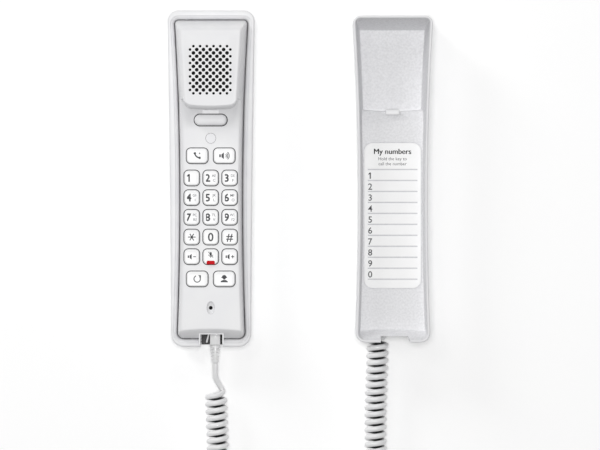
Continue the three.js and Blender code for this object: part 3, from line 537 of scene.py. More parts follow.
ABS = moulded_white_abs()
HOLLOW_SHADE_ABS = white_abs_painted_hollow_shade()
KEY_ABS = keycap_white_abs()
INK = pad_printed_grey()
LETTER_INK = letters_grey()
CARD = coated_card()
RULES = rule_ink()
PVC = cord_pvc()
SILICONE = silicone_mat()
PAINTED_GAP_SHADE = painted_gap_shade_silicone()
NYLON = black_nylon()
FELT = acoustic_felt()
MASK = solder_mask()
ZINC = zinc_plate()
RED = red_polycarbonate()
LENS = frosted_lens()


# ---- camera -------------------------------------------------------------------------------------
VIEW_WIDTH = 374.2
VIEW_CENTRE_Y = -28.9
VIEW_HEIGHT = 1800.0
SENSOR = 36.0
FAR_CLIP_M = 20


def place_camera():
    """Looks straight down: the lens is the sensor's width times the distance over the view's width."""
    camera = bpy.data.objects.new("camera", bpy.data.cameras.new("camera"))
    bpy.context.scene.collection.objects.link(camera)
    camera.data.sensor_width = SENSOR
    camera.data.lens = SENSOR * (VIEW_HEIGHT - SHELL_Z) / VIEW_WIDTH
    camera.data.clip_end = FAR_CLIP_M
    camera.location = (0, VIEW_CENTRE_Y * MM, VIEW_HEIGHT * MM)
    bpy.context.scene.camera = camera


# ---- the cord -----------------------------------------------------------------------------------
def smooth_path(points, per_span):
    """A Catmull-Rom curve through the points: each span blends its four nearest points with cubic weights."""
    p = np.asarray(points, float)
    p = np.vstack([2 * p[0] - p[1], p, 2 * p[-1] - p[-2]])
    t = np.linspace(0, 1, per_span, endpoint=False)[None, :, None]
    a, b, c, d = (p[k:len(p) - 3 + k][:, None, :] for k in range(4))
    spans = 0.5 * (2 * b + (c - a) * t + (2 * a - 5 * b + 4 * c - d) * t**2 + (3 * b - a - 3 * c + d) * t**3)
    return np.vstack([spans.reshape(-1, p.shape[1]), p[-2]])


def evenly(points, count):
    """The same path as a number of points at equal steps along it, and its length."""
    steps = np.linalg.norm(np.diff(points, axis=0), axis=1)
    along = np.concatenate([[0], np.cumsum(steps)])
    wanted = np.linspace(0, along[-1], count)
    return np.stack([np.interp(wanted, along, points[:, k]) for k in range(points.shape[1])], 1), along[-1]


AXIS_STEPS = 24
TURN_STEPS = 24
LEAD_STEPS = 10
TAIL_STEPS = 8
LAST_TURN = 0.42
START_PHASE = -0.6
EASE_REACH = 16
EASE_PASSES = 30
GUIDE_SPREAD = 6
TUBE_SIDES = 10
COIL_SHADE_START = 0.15
COIL_SHADE_SLOPE = 1.6
TIP = [0.0, 0.0, 1.0]
BEND_Y = -200.0


def eased(path, joins):
    """Rounds a path off at its joins: pass by pass, each point moves towards the mean of its neighbours.

    Its share of that way is one at a join, and falls with the square of the distance to none at the reach."""
    away = np.abs(np.arange(len(path))[:, None] - joins).min(axis=1)
    share = np.clip(1 - away / EASE_REACH, 0, 1)[:, None] ** 2
    share[[0, -1]] = 0
    for _ in range(EASE_PASSES):
        path = path + share * ((np.roll(path, 1, 0) + np.roll(path, -1, 0)) / 2 - path)
    return path


def strand_path():
    """The strand from the handset's boot to the cradle's plug.

    The middle is a helix: it circles the coil's axis once for each pitch of travel, at a fixed radius.
    It starts low on the outer side, where the lead reaches it, and ends beside the cradle's plug. The
    guide is the coil's direction along the coil and straight up elsewhere, averaged over a few points."""
    axis = smooth_path(COIL_POINTS, AXIS_STEPS)
    turns = round(evenly(axis, 2)[1] / COIL_PITCH) + LAST_TURN
    axis = evenly(axis, int(turns * TURN_STEPS))[0]
    ahead = np.gradient(axis, axis=0)
    ahead = ahead / np.linalg.norm(ahead, axis=1, keepdims=True)
    aside = np.c_[-ahead[:, 1], ahead[:, 0]]
    phase = START_PHASE + 2 * np.pi * turns * np.linspace(0, 1, len(axis))
    radius = (COIL_OUTER - STRAND) / 2
    helix = np.c_[axis + aside * (radius * np.cos(phase))[:, None], COIL_Z + radius * np.sin(phase)]
    lead = smooth_path(LEAD_POINTS + helix[[0, 3]].tolist(), LEAD_STEPS)[:-LEAD_STEPS - 1]
    tail = smooth_path(helix[[-4, -1]].tolist() + TAIL_POINTS, TAIL_STEPS)[TAIL_STEPS:]
    guide = np.vstack([
        np.tile(TIP, (len(lead), 1)), np.c_[ahead, np.zeros(len(ahead))], np.tile(TIP, (len(tail) - 1, 1)),
    ])
    joins = np.cumsum([len(lead), len(helix), TAIL_STEPS])
    path = eased(np.vstack([lead, helix, tail[1:]]), joins)
    window = 2 * GUIDE_SPREAD + 1
    weights = np.ones(window) / window
    padded = np.pad(guide, ((GUIDE_SPREAD, GUIDE_SPREAD), (0, 0)), mode="edge")
    guide = np.stack([np.convolve(padded[:, k], weights, "valid") for k in range(3)], 1)
    return path, guide


def tube(name, path, guide, diameter):
    """A closed tube: at each point of the path, a circle square to it, turned to a guide direction.

    Where the guide is the coil's axis, `inner`, the mask of the painted shade on the coil's inner side, grows
    with the circle's reach towards that axis."""
    ahead = np.gradient(path, axis=0)
    ahead /= np.linalg.norm(ahead, axis=1, keepdims=True)
    across = np.cross(ahead, guide)
    across /= np.linalg.norm(across, axis=1, keepdims=True)
    up = np.cross(across, ahead)
    a = np.linspace(0, 2 * np.pi, TUBE_SIDES, endpoint=False)[None, :, None]
    rings = path[:, None, :] + diameter / 2 * (np.cos(a) * across[:, None, :] - np.sin(a) * up[:, None, :])
    points, faces = stack(rings)
    piece = mesh_piece(name, points, faces, PVC, 60)
    # inner: painted shade on the side of each turn that faces the coil's axis, in place of the shadow between
    # the turns
    inner = np.clip(COIL_SHADE_START - COIL_SHADE_SLOPE * np.cos(a[0, :, 0]), 0, 1) * (np.abs(guide[:, 2:]) < 0.5)
    attribute = piece.data.attributes.new("inner", "FLOAT", "POINT")
    attribute.data.foreach_set("value", inner.ravel().astype(np.float32))
    return piece


def make_cord():
    """The strand in two pieces, split where it first passes the middle of the U bend."""
    path, guide = strand_path()
    left = np.argmax((path[:, 0] > SPLIT_X) & (path[:, 1] < BEND_Y))
    halves = [("curly_cord_handset_half", slice(0, left + 1)), ("curly_cord_cradle_half", slice(left, None))]
    cords = []
    for name, part in halves:
        line = path[part]
        cords.append((tube(name, line, guide[part], STRAND), line))
    (first, first_line), (second, second_line) = cords
    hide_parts("handset_lead", "curly_cord")
    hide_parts("cradle_lead")
    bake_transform(first)
    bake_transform(second)
    return cords


BOOT_SHARES = np.array([0, 0.03, 0.06, 0.5, 0.94, 1.0])
BOOT_WIDTHS = np.array([3.5, 4.1, 4.3, 5.5, 6.6, 6.2])
BOOT_OVAL = 0.95
BOOT_STEPS = 28
BOOT_RIB = 0.85
BOOT_SLOTS = 4
BOOT_SLOT = 0.9
BOOT_SLOT_PITCH = 2.0
BOOT_FIRST_SLOT = 2.3
BOOT_REACH = 5


def make_boot():
    """The strain relief: ovals that narrow towards the cord, with pairs of slots that leave a central rib."""
    low, high = box_mm("plug_boot")
    x, z = middle("plug_boot")[[0, 2]]
    rows = low[1] + (high[1] - low[1]) * BOOT_SHARES
    a = np.linspace(0, 2 * np.pi, BOOT_STEPS, endpoint=False)
    rings = np.stack([
        np.stack([x + width / 2 * np.cos(a), np.full(BOOT_STEPS, y),
                  z - width / 2 * BOOT_OVAL * np.sin(a)], 1)
        for width, y in zip(BOOT_WIDTHS, rows)
    ])
    boot = mesh_piece("plug_boot_ribbed", *stack(rings), PVC)
    slots = []
    for k in range(BOOT_SLOTS):
        centre = high[1] - BOOT_FIRST_SLOT - BOOT_SLOT_PITCH * k
        for side in (-1, 1):
            x0, x1 = sorted((x + side * BOOT_RIB, x + side * BOOT_REACH))
            slots.append(block(x0, x1, centre - BOOT_SLOT / 2, centre + BOOT_SLOT / 2,
                               z - BOOT_REACH, z + BOOT_REACH))
    combine(boot, [tool(slots)])
    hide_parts("plug_boot")
    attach(boot, "handset")
    return boot


PLUG_THICK = 6.3
PLUG_EDGE = 0.25
TONGUE_HALF = 1.6
CONTACTS = np.array([-1.5, -0.5, 0.5, 1.5])
CONTACT_SLOT = 0.5
CONTACT_DEPTH = 1.2
CONTACT_LENGTH = 5


def make_plug(name, node, body):
    """A modular plug on its side: a block with bevelled edges, its latch tongue, and its contacts' slots."""
    low, high = box_mm(node)
    left = high[0] - PLUG_THICK
    mid_z = (low[2] + high[2]) / 2
    plug = mesh_piece(name, *block(left, high[0], low[1], high[1], low[2], high[2]), PVC)
    tongue = np.array([
        (left + 0.3, high[1] - 2.4), (left - 0.3, high[1] - 0.4),
        (low[0], low[1] + 1.3), (low[0] + 1.1, low[1] + 1.3),
    ])
    combine(plug, [tool([prism(tongue, mid_z - TONGUE_HALF, mid_z + TONGUE_HALF)])], "UNION")
    slots = [block(high[0] - CONTACT_DEPTH, high[0] + 1, high[1] - CONTACT_LENGTH, high[1] + 1,
                   z - CONTACT_SLOT / 2, z + CONTACT_SLOT / 2) for z in mid_z + CONTACTS]
    combine(plug, [tool(slots)])
    bevel = plug.modifiers.new("edges", "BEVEL")
    bevel.width = PLUG_EDGE * MM
    bevel.segments = 2
    bevel.limit_method = "ANGLE"
    settle(plug)
    soften(plug, 35)
    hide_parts(node)
    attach(plug, body)
    return plug


# ---- the handset --------------------------------------------------------------------------------
INSIDE_FILLET = 2.5
INSIDE_RISE = 4
GROOVE_LEAD = 2.4
GROOVE_FOOT = 1.8
SCREW_CUP = 9.4
SCREW_HEAD = 6.2
SCREW_HOLE = 2.8


def make_rear_shell():
    """The rear shell as one stack of outlines: up inside, over the channel and the rim, down round the back.

    The channel's lip and the rim's and the back's edges are quarter rounds."""
    floor = outline(HANDSET_PLAN, BACK_WALL + INSIDE_FILLET)
    rings = [lifted(towards_spine(floor, share), BACK_WALL) for share in (1, 0.75, 0.5, 0.25)]
    rings.append(lifted(floor, BACK_WALL))
    rings.append(ring(HANDSET_PLAN, BACK_WALL, BACK_WALL + INSIDE_RISE))
    rings.append(ring(HANDSET_PLAN, BACK_WALL, GROOVE_Z - GROOVE_LEAD))
    seam = FRONT_INSET - SEAM
    rings.append(ring(CRADLE_PLAN, seam, GROOVE_Z - GROOVE_FOOT))
    for a in np.linspace(np.pi / 2, 0, 9):
        inset = (seam + RIM_MARGIN) * np.sin(a) - RIM_MARGIN
        rings.append(ring(CRADLE_PLAN, inset, GROOVE_Z + (SHELL_Z - RIM_STEP - GROOVE_Z) * np.cos(a)))
    for a in np.linspace(0, np.pi / 2, 5):
        inset = -RIM_MARGIN - RIM_EDGE * (1 - np.cos(a))
        rings.append(ring(CRADLE_PLAN, inset, SHELL_Z - RIM_EDGE * (1 - np.sin(a))))
    for a in np.linspace(0, np.pi / 2, 5):
        rings.append(ring(HANDSET_PLAN, RIM_RADIUS * (1 - np.sin(a)), SHELL_Z - RIM_RADIUS * (1 - np.cos(a))))
    for a in np.linspace(0, np.pi / 2, 9):
        rings.append(ring(HANDSET_PLAN, BACK_RADIUS * (1 - np.cos(a)), BACK_RADIUS * (1 - np.sin(a))))
    back = outline(HANDSET_PLAN, BACK_RADIUS)
    for share in (0.3, 0.6, 0.85, 1):
        rings.append(lifted(towards_spine(back, share), 0))
    points, faces = stack(np.array(rings)[:, ::-1], closed_ends=False)
    shell = mesh_piece("rear_shell_moulding", points + [HANDSET_X, 0, 0], faces, ABS, 32)
    cuts = [notch_block(0)]
    cups = []
    for name in ("handset_screw_1", "handset_screw_2"):
        x, y = middle(name)[:2]
        cuts.append(prism(circle(SCREW_HEAD, x, y, 28), -1, SCREW_RECESS))
        cuts.append(prism(circle(SCREW_HOLE, x, y, 20), -1, BACK_WALL + SCREW_RECESS))
        cups.append(prism(circle(SCREW_CUP, x, y, 28), BACK_WALL / 2, BACK_WALL + SCREW_RECESS))
    combine(shell, [tool(cups)], "UNION", 32)
    combine(shell, [tool([cut]) for cut in cuts], smooth=32)
    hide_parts("rear_shell")
    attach(shell, "handset")


def notch_block(margin, top=60.0, low=None, start=-110.0):
    """The cord notch at the handset's foot, grown by a margin."""
    return block(HANDSET_X + NOTCH["left"] - margin, HANDSET_X + NOTCH["right"] + margin,
                 start, NOTCH["end"] + margin, NOTCH["floor"] if low is None else low, top)


def ear_rise(v, late=0.0):
    """Share of the rise from the ramp to the earpiece at row v: a quarter round, steep at its foot."""
    t = np.clip((v - EAR_Y - late) / EAR_ROUND, 0, 1)
    return np.sqrt(1 - (1 - t) ** 2)


def crest(v, late=0.0):
    """Height of the front's top at row v: the face, a ramp that rises with the square, then the earpiece."""
    climb = np.clip((v - (EAR_Y - RAMP_LENGTH)) / RAMP_LENGTH, 0, 1)
    face = FACE_Z + RAMP_RISE * climb**2
    return face + (EAR_Z - face) * ear_rise(v, late)


def ear_dish(points):
    """How far the earpiece's face sinks: a shallow bowl along its length, level at its two ends."""
    middle_y = (EAR_Y + CRADLE_HIGH[1] - FRONT_INSET - EAR_END) / 2
    half = middle_y - EAR_Y
    return EAR_DISH * np.clip(1 - ((points[:, 1] - middle_y) / half) ** 2, 0, 1)


def front_level(climb, edge, shrink):
    """One outline of the front's wall: `climb` is its share of the way up to the edge's quarter round, and
    `edge` the angle round it. The walls lean in evenly with height, and the earpiece narrows downwards."""
    inset = FRONT_INSET + shrink

    def height(v):
        top = crest(v, shrink) - shrink
        radius = FACE_EDGE + (EAR_EDGE - FACE_EDGE) * (v > EAR_Y)
        return CHANNEL_Z + (top - radius - CHANNEL_Z) * climb + radius * np.sin(edge)

    def reach(v):
        v = np.asarray(v, float)
        down = np.clip((CRADLE_HIGH[1] - v) / (CRADLE_HIGH[1] - EAR_Y), 0, 1)
        narrowing = EAR_NARROWING * ear_rise(v, shrink) * down
        lean = EAR_SIDE * (height(v) - CHANNEL_Z) / (EAR_Z - CHANNEL_Z)
        return inset + lean + narrowing * climb + EAR_EDGE * (1 - np.cos(edge))

    top = (height(CRADLE_HIGH[1]) - CHANNEL_Z) / (EAR_Z - CHANNEL_Z)
    low = (height(CRADLE_LOW[1]) - CHANNEL_Z) / (FACE_Z - CHANNEL_Z)
    round_in = EAR_EDGE * (1 - np.cos(edge))
    points = outline(CRADLE_PLAN, reach, inset + EAR_END * top + round_in,
                     inset + FACE_END * low + round_in / 2, END_ARCH * low)
    return points, height(points[:, 1])


def front_rings(shrink):
    """The front's skin from its skirt to its centre line, drawn inwards by `shrink` for the inner side."""
    skirt = outline(CRADLE_PLAN, FRONT_INSET + shrink)
    rings = [lifted(skirt, FRONT_LOW_Z - (0.5 if shrink else 0))]
    levels = [(share, 0.0) for share in (0, 0.33, 0.67, 1)]
    levels += [(1, edge) for edge in np.linspace(0, np.pi / 2, 7)[1:]]
    half = float(CRADLE_PLAN.half(EAR_Y)) - FRONT_INSET - EAR_NARROWING - EAR_SIDE - shrink
    for climb, edge in levels:
        points, z = front_level(climb, edge, shrink)
        rings.append(lifted(bulged(points, EAR_Y, half, EAR_CORNER), z))
    top = points
    for share in np.linspace(0, 1, 12)[1:]:
        inner = towards_spine(top, share)
        z = crest(inner[:, 1], shrink) - shrink - (0 if shrink else ear_dish(inner) * min(3 * share, 1))
        rings.append(lifted(bulged(inner, EAR_Y, half, EAR_CORNER), z))
    return rings


GRILLE_ROWS = 15
GRILLE_COUNT = 6
GRILLE_PITCH_X = 4.15
GRILLE_PITCH_Y = 2.08
GRILLE_HOLE = 2.35
GRILLE_EDGE_HOLE = 1.7


def grille_holes():
    """Fifteen rows of holes, six and seven in turn, each row moved by half a hole: smaller round the edge."""
    holes = []
    for row in range(GRILLE_ROWS):
        count = GRILLE_COUNT + row % 2
        for k in range(count):
            x = (k - (count - 1) / 2) * GRILLE_PITCH_X
            y = SPEAKER_Y + (row - GRILLE_ROWS // 2) * GRILLE_PITCH_Y
            edge = row in (0, GRILLE_ROWS - 1) or (row % 2 and k in (0, count - 1))
            size = GRILLE_EDGE_HOLE if edge else GRILLE_HOLE
            holes.append(prism(circle(size, HANDSET_X + x, y, 14), EAR_Z - 4, EAR_Z + 3))
    return holes


def key_names():
    """The frame's keys, in the order of their names."""
    return sorted(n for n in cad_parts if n.startswith("key_") and n != "key_mat")


def ellipsoid(centre, radii, steps=24):
    """A closed ball stretched to three radii: rings of latitude between two flat poles."""
    tilt = np.linspace(-np.pi / 2 + 0.05, np.pi / 2 - 0.05, steps // 2)
    rings = [
        lifted(circle(2, 0, 0, steps) * np.cos(a), np.sin(a)) * radii + centre
        for a in tilt
    ]
    return stack(rings)


HOOK_RADIUS = 9
HOOK_GAP = 1.1
TAB_SLOT = dict(half=5.25, below=1.7, above=1.9, floor=1.4)
SLOT_BED = dict(half=7, below=2.4, above=3.4, foot=0.6, floor=1.65)
LIP_MARGIN = 0.9
LIP_START = -103.2
LENS_HOLE = 6.6
MIC_HOLE = 2.4
MIC_DISH = np.array([2.6, 4.1, 1.5])


def make_front_shell():
    """Both skins as one stack, the inner one drawn in by the wall, with its openings cut through."""
    outer = front_rings(0)
    inner = front_rings(FRONT_WALL)
    rings = np.array(inner[::-1] + outer)
    points, faces = stack(rings, closed_ends=False)
    shell = mesh_piece("front_shell_moulding", points + [HANDSET_X, 0, 0], faces, ABS, 40)
    lip = tool([notch_block(LIP_MARGIN, FACE_Z - 3.2, SHELL_Z - 3, LIP_START)])
    slot_floor = tool([block(HANDSET_X - SLOT_BED["half"], HANDSET_X + SLOT_BED["half"],
                             TAB_Y - SLOT_BED["below"], TAB_Y + SLOT_BED["above"],
                             FACE_Z - SLOT_BED["foot"], FACE_Z + SLOT_BED["floor"])])
    combine(shell, [lip], "UNION", 40)
    combine(shell, [slot_floor], "UNION", 40)
    keys = []
    for name in key_names():
        low, high = box_mm(name)
        x, y = middle(name)[:2]
        width, length = high[0] - low[0] + 2 * KEY_GAP, high[1] - low[1] + 2 * KEY_GAP
        keys.append(prism(rounded(width, length, KEY_RADIUS + KEY_GAP, x, y, 8), FACE_Z - 6, FACE_Z + 6))
    low, high = box_mm("hook_switch_button")
    hook = rounded(high[0] - low[0] + HOOK_GAP, high[1] - low[1] + HOOK_GAP, HOOK_RADIUS,
                   HANDSET_X, HOOK_Y, 12)
    slot = block(HANDSET_X - TAB_SLOT["half"], HANDSET_X + TAB_SLOT["half"], TAB_Y - TAB_SLOT["below"],
                 TAB_Y + TAB_SLOT["above"], FACE_Z + TAB_SLOT["floor"], SHELL_Z + 11.5)
    cuts = [
        tool(keys), tool(grille_holes()), tool([prism(hook, FACE_Z - 5, FACE_Z + 5.6)]), tool([slot]),
        tool([prism(circle(LENS_HOLE, HANDSET_X, LENS_Y, 32), FACE_Z - 6, FACE_Z + 6)]),
        tool([ellipsoid(np.array([HANDSET_X, MIC_Y, FACE_Z + 0.2]), MIC_DISH)]),
        tool([prism(circle(MIC_HOLE, HANDSET_X, MIC_Y, 20), FACE_Z - 6, FACE_Z + 6)]),
        tool([notch_block(0)]),
    ]
    combine(shell, cuts, smooth=40)
    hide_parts("front_shell")
    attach(shell, "handset")


COLLAR_GAP = 0.04
COLLAR_TOP = FACE_Z - 0.5
COLLAR_FOOT = FACE_Z - 1.8
HOOK_COLLAR = 0.7


def collar(node, outer, radius, centre, foot, top, steps):
    """A band round a node, from just off its outline to `outer` from it: four rings joined in a loop."""
    low, high = box_mm(node)
    near, far = [rounded(high[0] - low[0] + 2 * out, high[1] - low[1] + 2 * out, radius(out), *centre, steps)
                 for out in (COLLAR_GAP, outer)]
    rings = [lifted(near, foot), lifted(near, top), lifted(far, top), lifted(far, foot), lifted(near, foot)]
    return stack(np.array(rings)[::-1], closed_ends=False)


def make_shade_collars():
    """The mat's collars: they fill the gap round each key to just under the face, and that of the hook, in a
    near-black colour that is painted shade for those gaps.
    """
    parts = [collar(name, KEY_GAP - COLLAR_GAP, lambda out: KEY_RADIUS + out, middle(name)[:2],
                    COLLAR_FOOT, COLLAR_TOP, 8) for name in key_names()]
    foot = box_mm("hook_switch_button")[0][2]
    parts.append(collar("hook_switch_button", HOOK_COLLAR, lambda out: HOOK_RADIUS, (HANDSET_X, HOOK_Y),
                        foot - 1, foot, 12))
    # the collars' near-black colour is painted shade in the gaps between the keys, the hook and the face
    collars = mesh_piece("key_mat_collars_painted_shade", *merged(parts), PAINTED_GAP_SHADE)
    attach(collars, "handset")


FELT_SIZE = (29.5, 33.0)
FELT_RADIUS = 6


def make_felt():
    """The felt behind the grille: a rounded sheet that backs every hole."""
    low, high = box_mm("receiver_felt")
    x, y = middle("receiver_felt")[:2]
    plan = rounded(*FELT_SIZE, FELT_RADIUS, x, y)
    sheet = mesh_piece("receiver_felt_sheet", *prism(plan, low[2], high[2]), FELT)
    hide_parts("receiver_felt")
    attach(sheet, "handset")


def crowned(plan_points, low, high, fillet, dish=0.0):
    """A cap: straight walls, a quarter-round edge, and a top that sinks by the dish towards its middle."""
    normals = outward_of(plan_points)
    rings = [lifted(plan_points, low), lifted(plan_points, high - fillet)]
    for a in np.linspace(0, np.pi / 2, 6)[1:]:
        inner = plan_points - normals * fillet * (1 - np.cos(a))
        rings.append(lifted(inner, high - fillet * (1 - np.sin(a))))
    rings.append(lifted(plan_points - normals * (fillet + 0.5), high - dish * 0.6))
    rings.append(lifted(plan_points - normals * (fillet + 1.1), high - dish))
    return stack(rings)


def outward_of(points):
    """Unit normals of a plain closed outline."""
    along = np.roll(points, -1, 0) - np.roll(points, 1, 0)
    along = along / np.linalg.norm(along, axis=1, keepdims=True)
    return np.c_[along[:, 1], -along[:, 0]]


KEY_DISH = 0.12
KEY_FILLET = 0.9
LIGHT_PROUD = 0.15
LIGHT_RADIUS = 0.8
LIGHT_GAP = 0.1


def make_key(name):
    """One key's cap; the mute key's has a window for its light."""
    low, high = box_mm(name)
    x, y = middle(name)[:2]
    plan = rounded(high[0] - low[0], high[1] - low[1], KEY_RADIUS, x, y, 8)
    cap = mesh_piece(name + "_cap", *crowned(plan, low[2], high[2], KEY_FILLET, KEY_DISH), KEY_ABS, 40)
    if name == "key_mute":
        light_low, light_high = box_mm("mute_light")
        window = rounded(light_high[0] - light_low[0] + LIGHT_GAP,
                         2 * (light_high[1] - light_low[1]) + LIGHT_GAP, LIGHT_RADIUS, x, light_low[1], 6)
        combine(cap, [tool([prism(window, light_low[2] - LIGHT_GAP, light_high[2] + 2)])])
    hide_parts(name)
    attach(cap, name)


def make_mute_light():
    """The upper half of a rounded strip, cut off level with the key's front."""
    low, high = box_mm("mute_light")
    x = middle("mute_light")[0]
    plan = rounded(high[0] - low[0], 2 * (high[1] - low[1]), LIGHT_RADIUS, x, low[1], 6)
    plan[:, 1] = np.maximum(plan[:, 1], low[1])
    light = mesh_piece("mute_light_lens", *prism(plan, low[2], high[2] + LIGHT_PROUD), RED)
    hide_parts("mute_light")
    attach(light, "key_mute")


def pill(low, high, foot, radius, fillet, dome):
    """Nested round-cornered rectangles: up the side, round a quarter circle, then on to a dome.

    The dome's height falls with the square of the distance from the middle."""
    wide, long = high[0] - low[0], high[1] - low[1]
    rest = long / 2 - fillet - 0.1
    steps = [(0.0, foot), (0.0, high[2] - dome - fillet)]
    steps += [(fillet * (1 - np.cos(a)), high[2] - dome - fillet * (1 - np.sin(a)))
              for a in np.linspace(0, np.pi / 2, 7)[1:]]
    steps += [(fillet + rest * t, high[2] - dome * (1 - t) ** 2) for t in (0.35, 0.7, 1)]
    x, y = (low[0] + high[0]) / 2, (low[1] + high[1]) / 2
    return stack(np.array([lifted(rounded(wide - 2 * inset, long - 2 * inset, radius, x, y, 12), z)
                           for inset, z in steps]))


def make_hook_button():
    """The long button on the ramp: a pill with a slight dome."""
    low, high = box_mm("hook_switch_button")
    button = mesh_piece("hook_switch_cap", *pill(low, high, low[2], HOOK_RADIUS, 1.3, 0.2), ABS, 60)
    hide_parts("hook_switch_button")
    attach(button, "hook_switch")


# ---- print --------------------------------------------------------------------------------------
PRINT_SINK = 0.1
PRINT_PROUD = 0.02


def glyphs(text, weight):
    """The mesh of a line of text in the built-in font, its strokes thickened by the weight."""
    curve = bpy.data.curves.new("text", "FONT")
    curve.body = text
    curve.offset = weight
    curve.extrude = 0.5
    curve.resolution_u = 4
    obj = bpy.data.objects.new("text", curve)
    bpy.context.scene.collection.objects.link(obj)
    bpy.context.view_layer.update()
    mesh = bpy.data.meshes.new_from_object(obj.evaluated_get(bpy.context.evaluated_depsgraph_get()))
    points = np.empty(len(mesh.vertices) * 3)
    mesh.vertices.foreach_get("co", points)
    faces = [list(p.vertices) for p in mesh.polygons]
    bpy.data.objects.remove(obj)
    return points.reshape(-1, 3), faces


def lettering(text, height, x, y, weight=0.0):
    """Text as a flat plate: its capitals have the given height, and it is centred at (x, y)."""
    capital = glyphs("H", weight)[0]
    foot, head = capital[:, 1].min(), capital[:, 1].max()
    points, faces = glyphs(text, weight)
    scale = height / (head - foot)
    centre_x = (points[:, 0].min() + points[:, 0].max()) / 2
    return (points - [centre_x, (foot + head) / 2, 0]) * [scale, scale, 1] + [x, y, 0], faces


def plate(points):
    """A flat shape of unit thickness about z = 0."""
    points = np.asarray(points, float)
    return prism(points, -0.5, 0.5)


def stroke(points, width):
    """A band of even width along a line: each point moved half the width to either side."""
    p = np.asarray(points, float)
    along = np.gradient(p, axis=0)
    along /= np.linalg.norm(along, axis=1, keepdims=True)
    across = np.c_[-along[:, 1], along[:, 0]] * width / 2
    count = len(p)
    right, left = p - across, p + across
    points = np.vstack([lifted(right, -0.5), lifted(left, -0.5), lifted(right, 0.5), lifted(left, 0.5)])
    faces = []
    i = np.arange(count - 1)
    faces += np.stack([i, i + count, i + count + 1, i + 1], 1).tolist()
    faces += np.stack([i + 2 * count, i + 2 * count + 1, i + 3 * count + 1, i + 3 * count], 1).tolist()
    faces += np.stack([i, i + 1, i + 2 * count + 1, i + 2 * count], 1).tolist()
    faces += np.stack([i + count, i + 3 * count, i + 3 * count + 1, i + count + 1], 1).tolist()
    faces += [[0, 2 * count, 3 * count, count], [count - 1, 2 * count - 1, 4 * count - 1, 3 * count - 1]]
    return points, faces


def arc(radius, start, end, x=0.0, y=0.0, steps=16):
    """Points at equal angles on an arc, its angles in degrees."""
    a = np.radians(np.linspace(start, end, steps))
    return np.c_[x + radius * np.cos(a), y + radius * np.sin(a)]


def moved(part, x, y):
    """A part shifted sideways."""
    return np.asarray(part[0]) + [x, y, 0], part[1]


def speaker_icon(x, y, size=1.0):
    """A small box with a cone that opens to the right."""
    box = plate(np.array([(-2.6, -0.9), (-1.6, -0.9), (-1.6, 0.9), (-2.6, 0.9)]) * size)
    cone = plate(np.array([(-1.2, -0.9), (0.3, -2.1), (0.3, 2.1), (-1.2, 0.9)]) * size)
    return [moved(box, x, y), moved(cone, x, y)]


def talk_icon(x, y):
    """A receiver: an arc with a block at each end, and a dot."""
    bow = stroke(arc(3.5, 188, 262, 1.9, 2.2), 0.85)
    ends = [plate(rounded(1.5, 1.1, 0.4, -1.45, 1.6)), plate(rounded(1.1, 1.5, 0.4, 1.6, -1.3))]
    return [moved(p, x, y) for p in [bow, *ends, plate(circle(0.9, 1.5, 1.5, 12))]]


def waves(x, y):
    """Three arcs about one centre."""
    return [moved(stroke(arc(r, -48, 48, 0.2, 0, 10), 0.5), x, y) for r in (1.2, 2.1, 3.0)]


def mute_icon(x, y):
    """A microphone with a bar through it."""
    body = plate(rounded(1.3, 2.4, 0.65, 0, 0.7))
    cup = stroke(arc(1.35, 190, 350, 0, 0.5, 12), 0.35)
    stem = stroke([(0, -0.8), (0, -1.7)], 0.4)
    bar = stroke([(-1.7, 2.3), (1.5, -1.5)], 0.4)
    return [moved(p, x, y) for p in (body, cup, stem, bar)]


def redial_icon(x, y):
    """An open ring that ends in an arrow head."""
    ring = stroke(arc(2.0, 110, 400, 0, 0, 28), 0.6)
    head = plate(np.array([(0.55, 2.35), (2.3, 2.3), (2.3, 0.6)]))
    return [moved(p, x, y) for p in (ring, head)]


def service_icon(x, y):
    """A head under a cap, and shoulders."""
    cap = plate(np.vstack([arc(1.45, 0, 180, 0, 1.0, 14)]))
    brim = plate(rounded(3.6, 0.6, 0.3, 0, 0.9))
    chin = plate(arc(1.0, 180, 360, 0, 0.6, 10))
    body = plate(np.vstack([arc(1.0, 0, 180, 0, 0, 16) * [2.3, 1.5] + [0, -2.1]]))
    return [moved(p, x, y) for p in (cap, brim, chin, body)]


def star_icon(x, y):
    """Three bars crossed at sixty degrees."""
    return [moved(stroke(np.array([(-c, -s), (c, s)]) * 2.4, 0.6), x, y)
            for c, s in ((1, 0), (0.5, 0.866), (0.5, -0.866))]


def one(height, x, y):
    """The digit 1 with its flag, which the built-in font leaves out."""
    width = 0.19 * height
    stem = block(x, x + width, y - height / 2, y + height / 2, -0.5, 0.5)
    flag = plate([(x + width, y + height / 2), (x, y + height / 2), (x - 0.2 * height, y + 0.3 * height),
                  (x - 0.2 * height, y + 0.14 * height), (x + width / 2, y + 0.28 * height)])
    return [stem, flag]


LETTERS = {
    "2": ("AB", "C"), "3": ("DE", "F"), "4": ("GH", "I"), "5": ("JK", "L"),
    "6": ("MN", "O"), "7": ("PQ", "RS"), "8": ("TU", "V"), "9": ("WX", "YZ"),
}


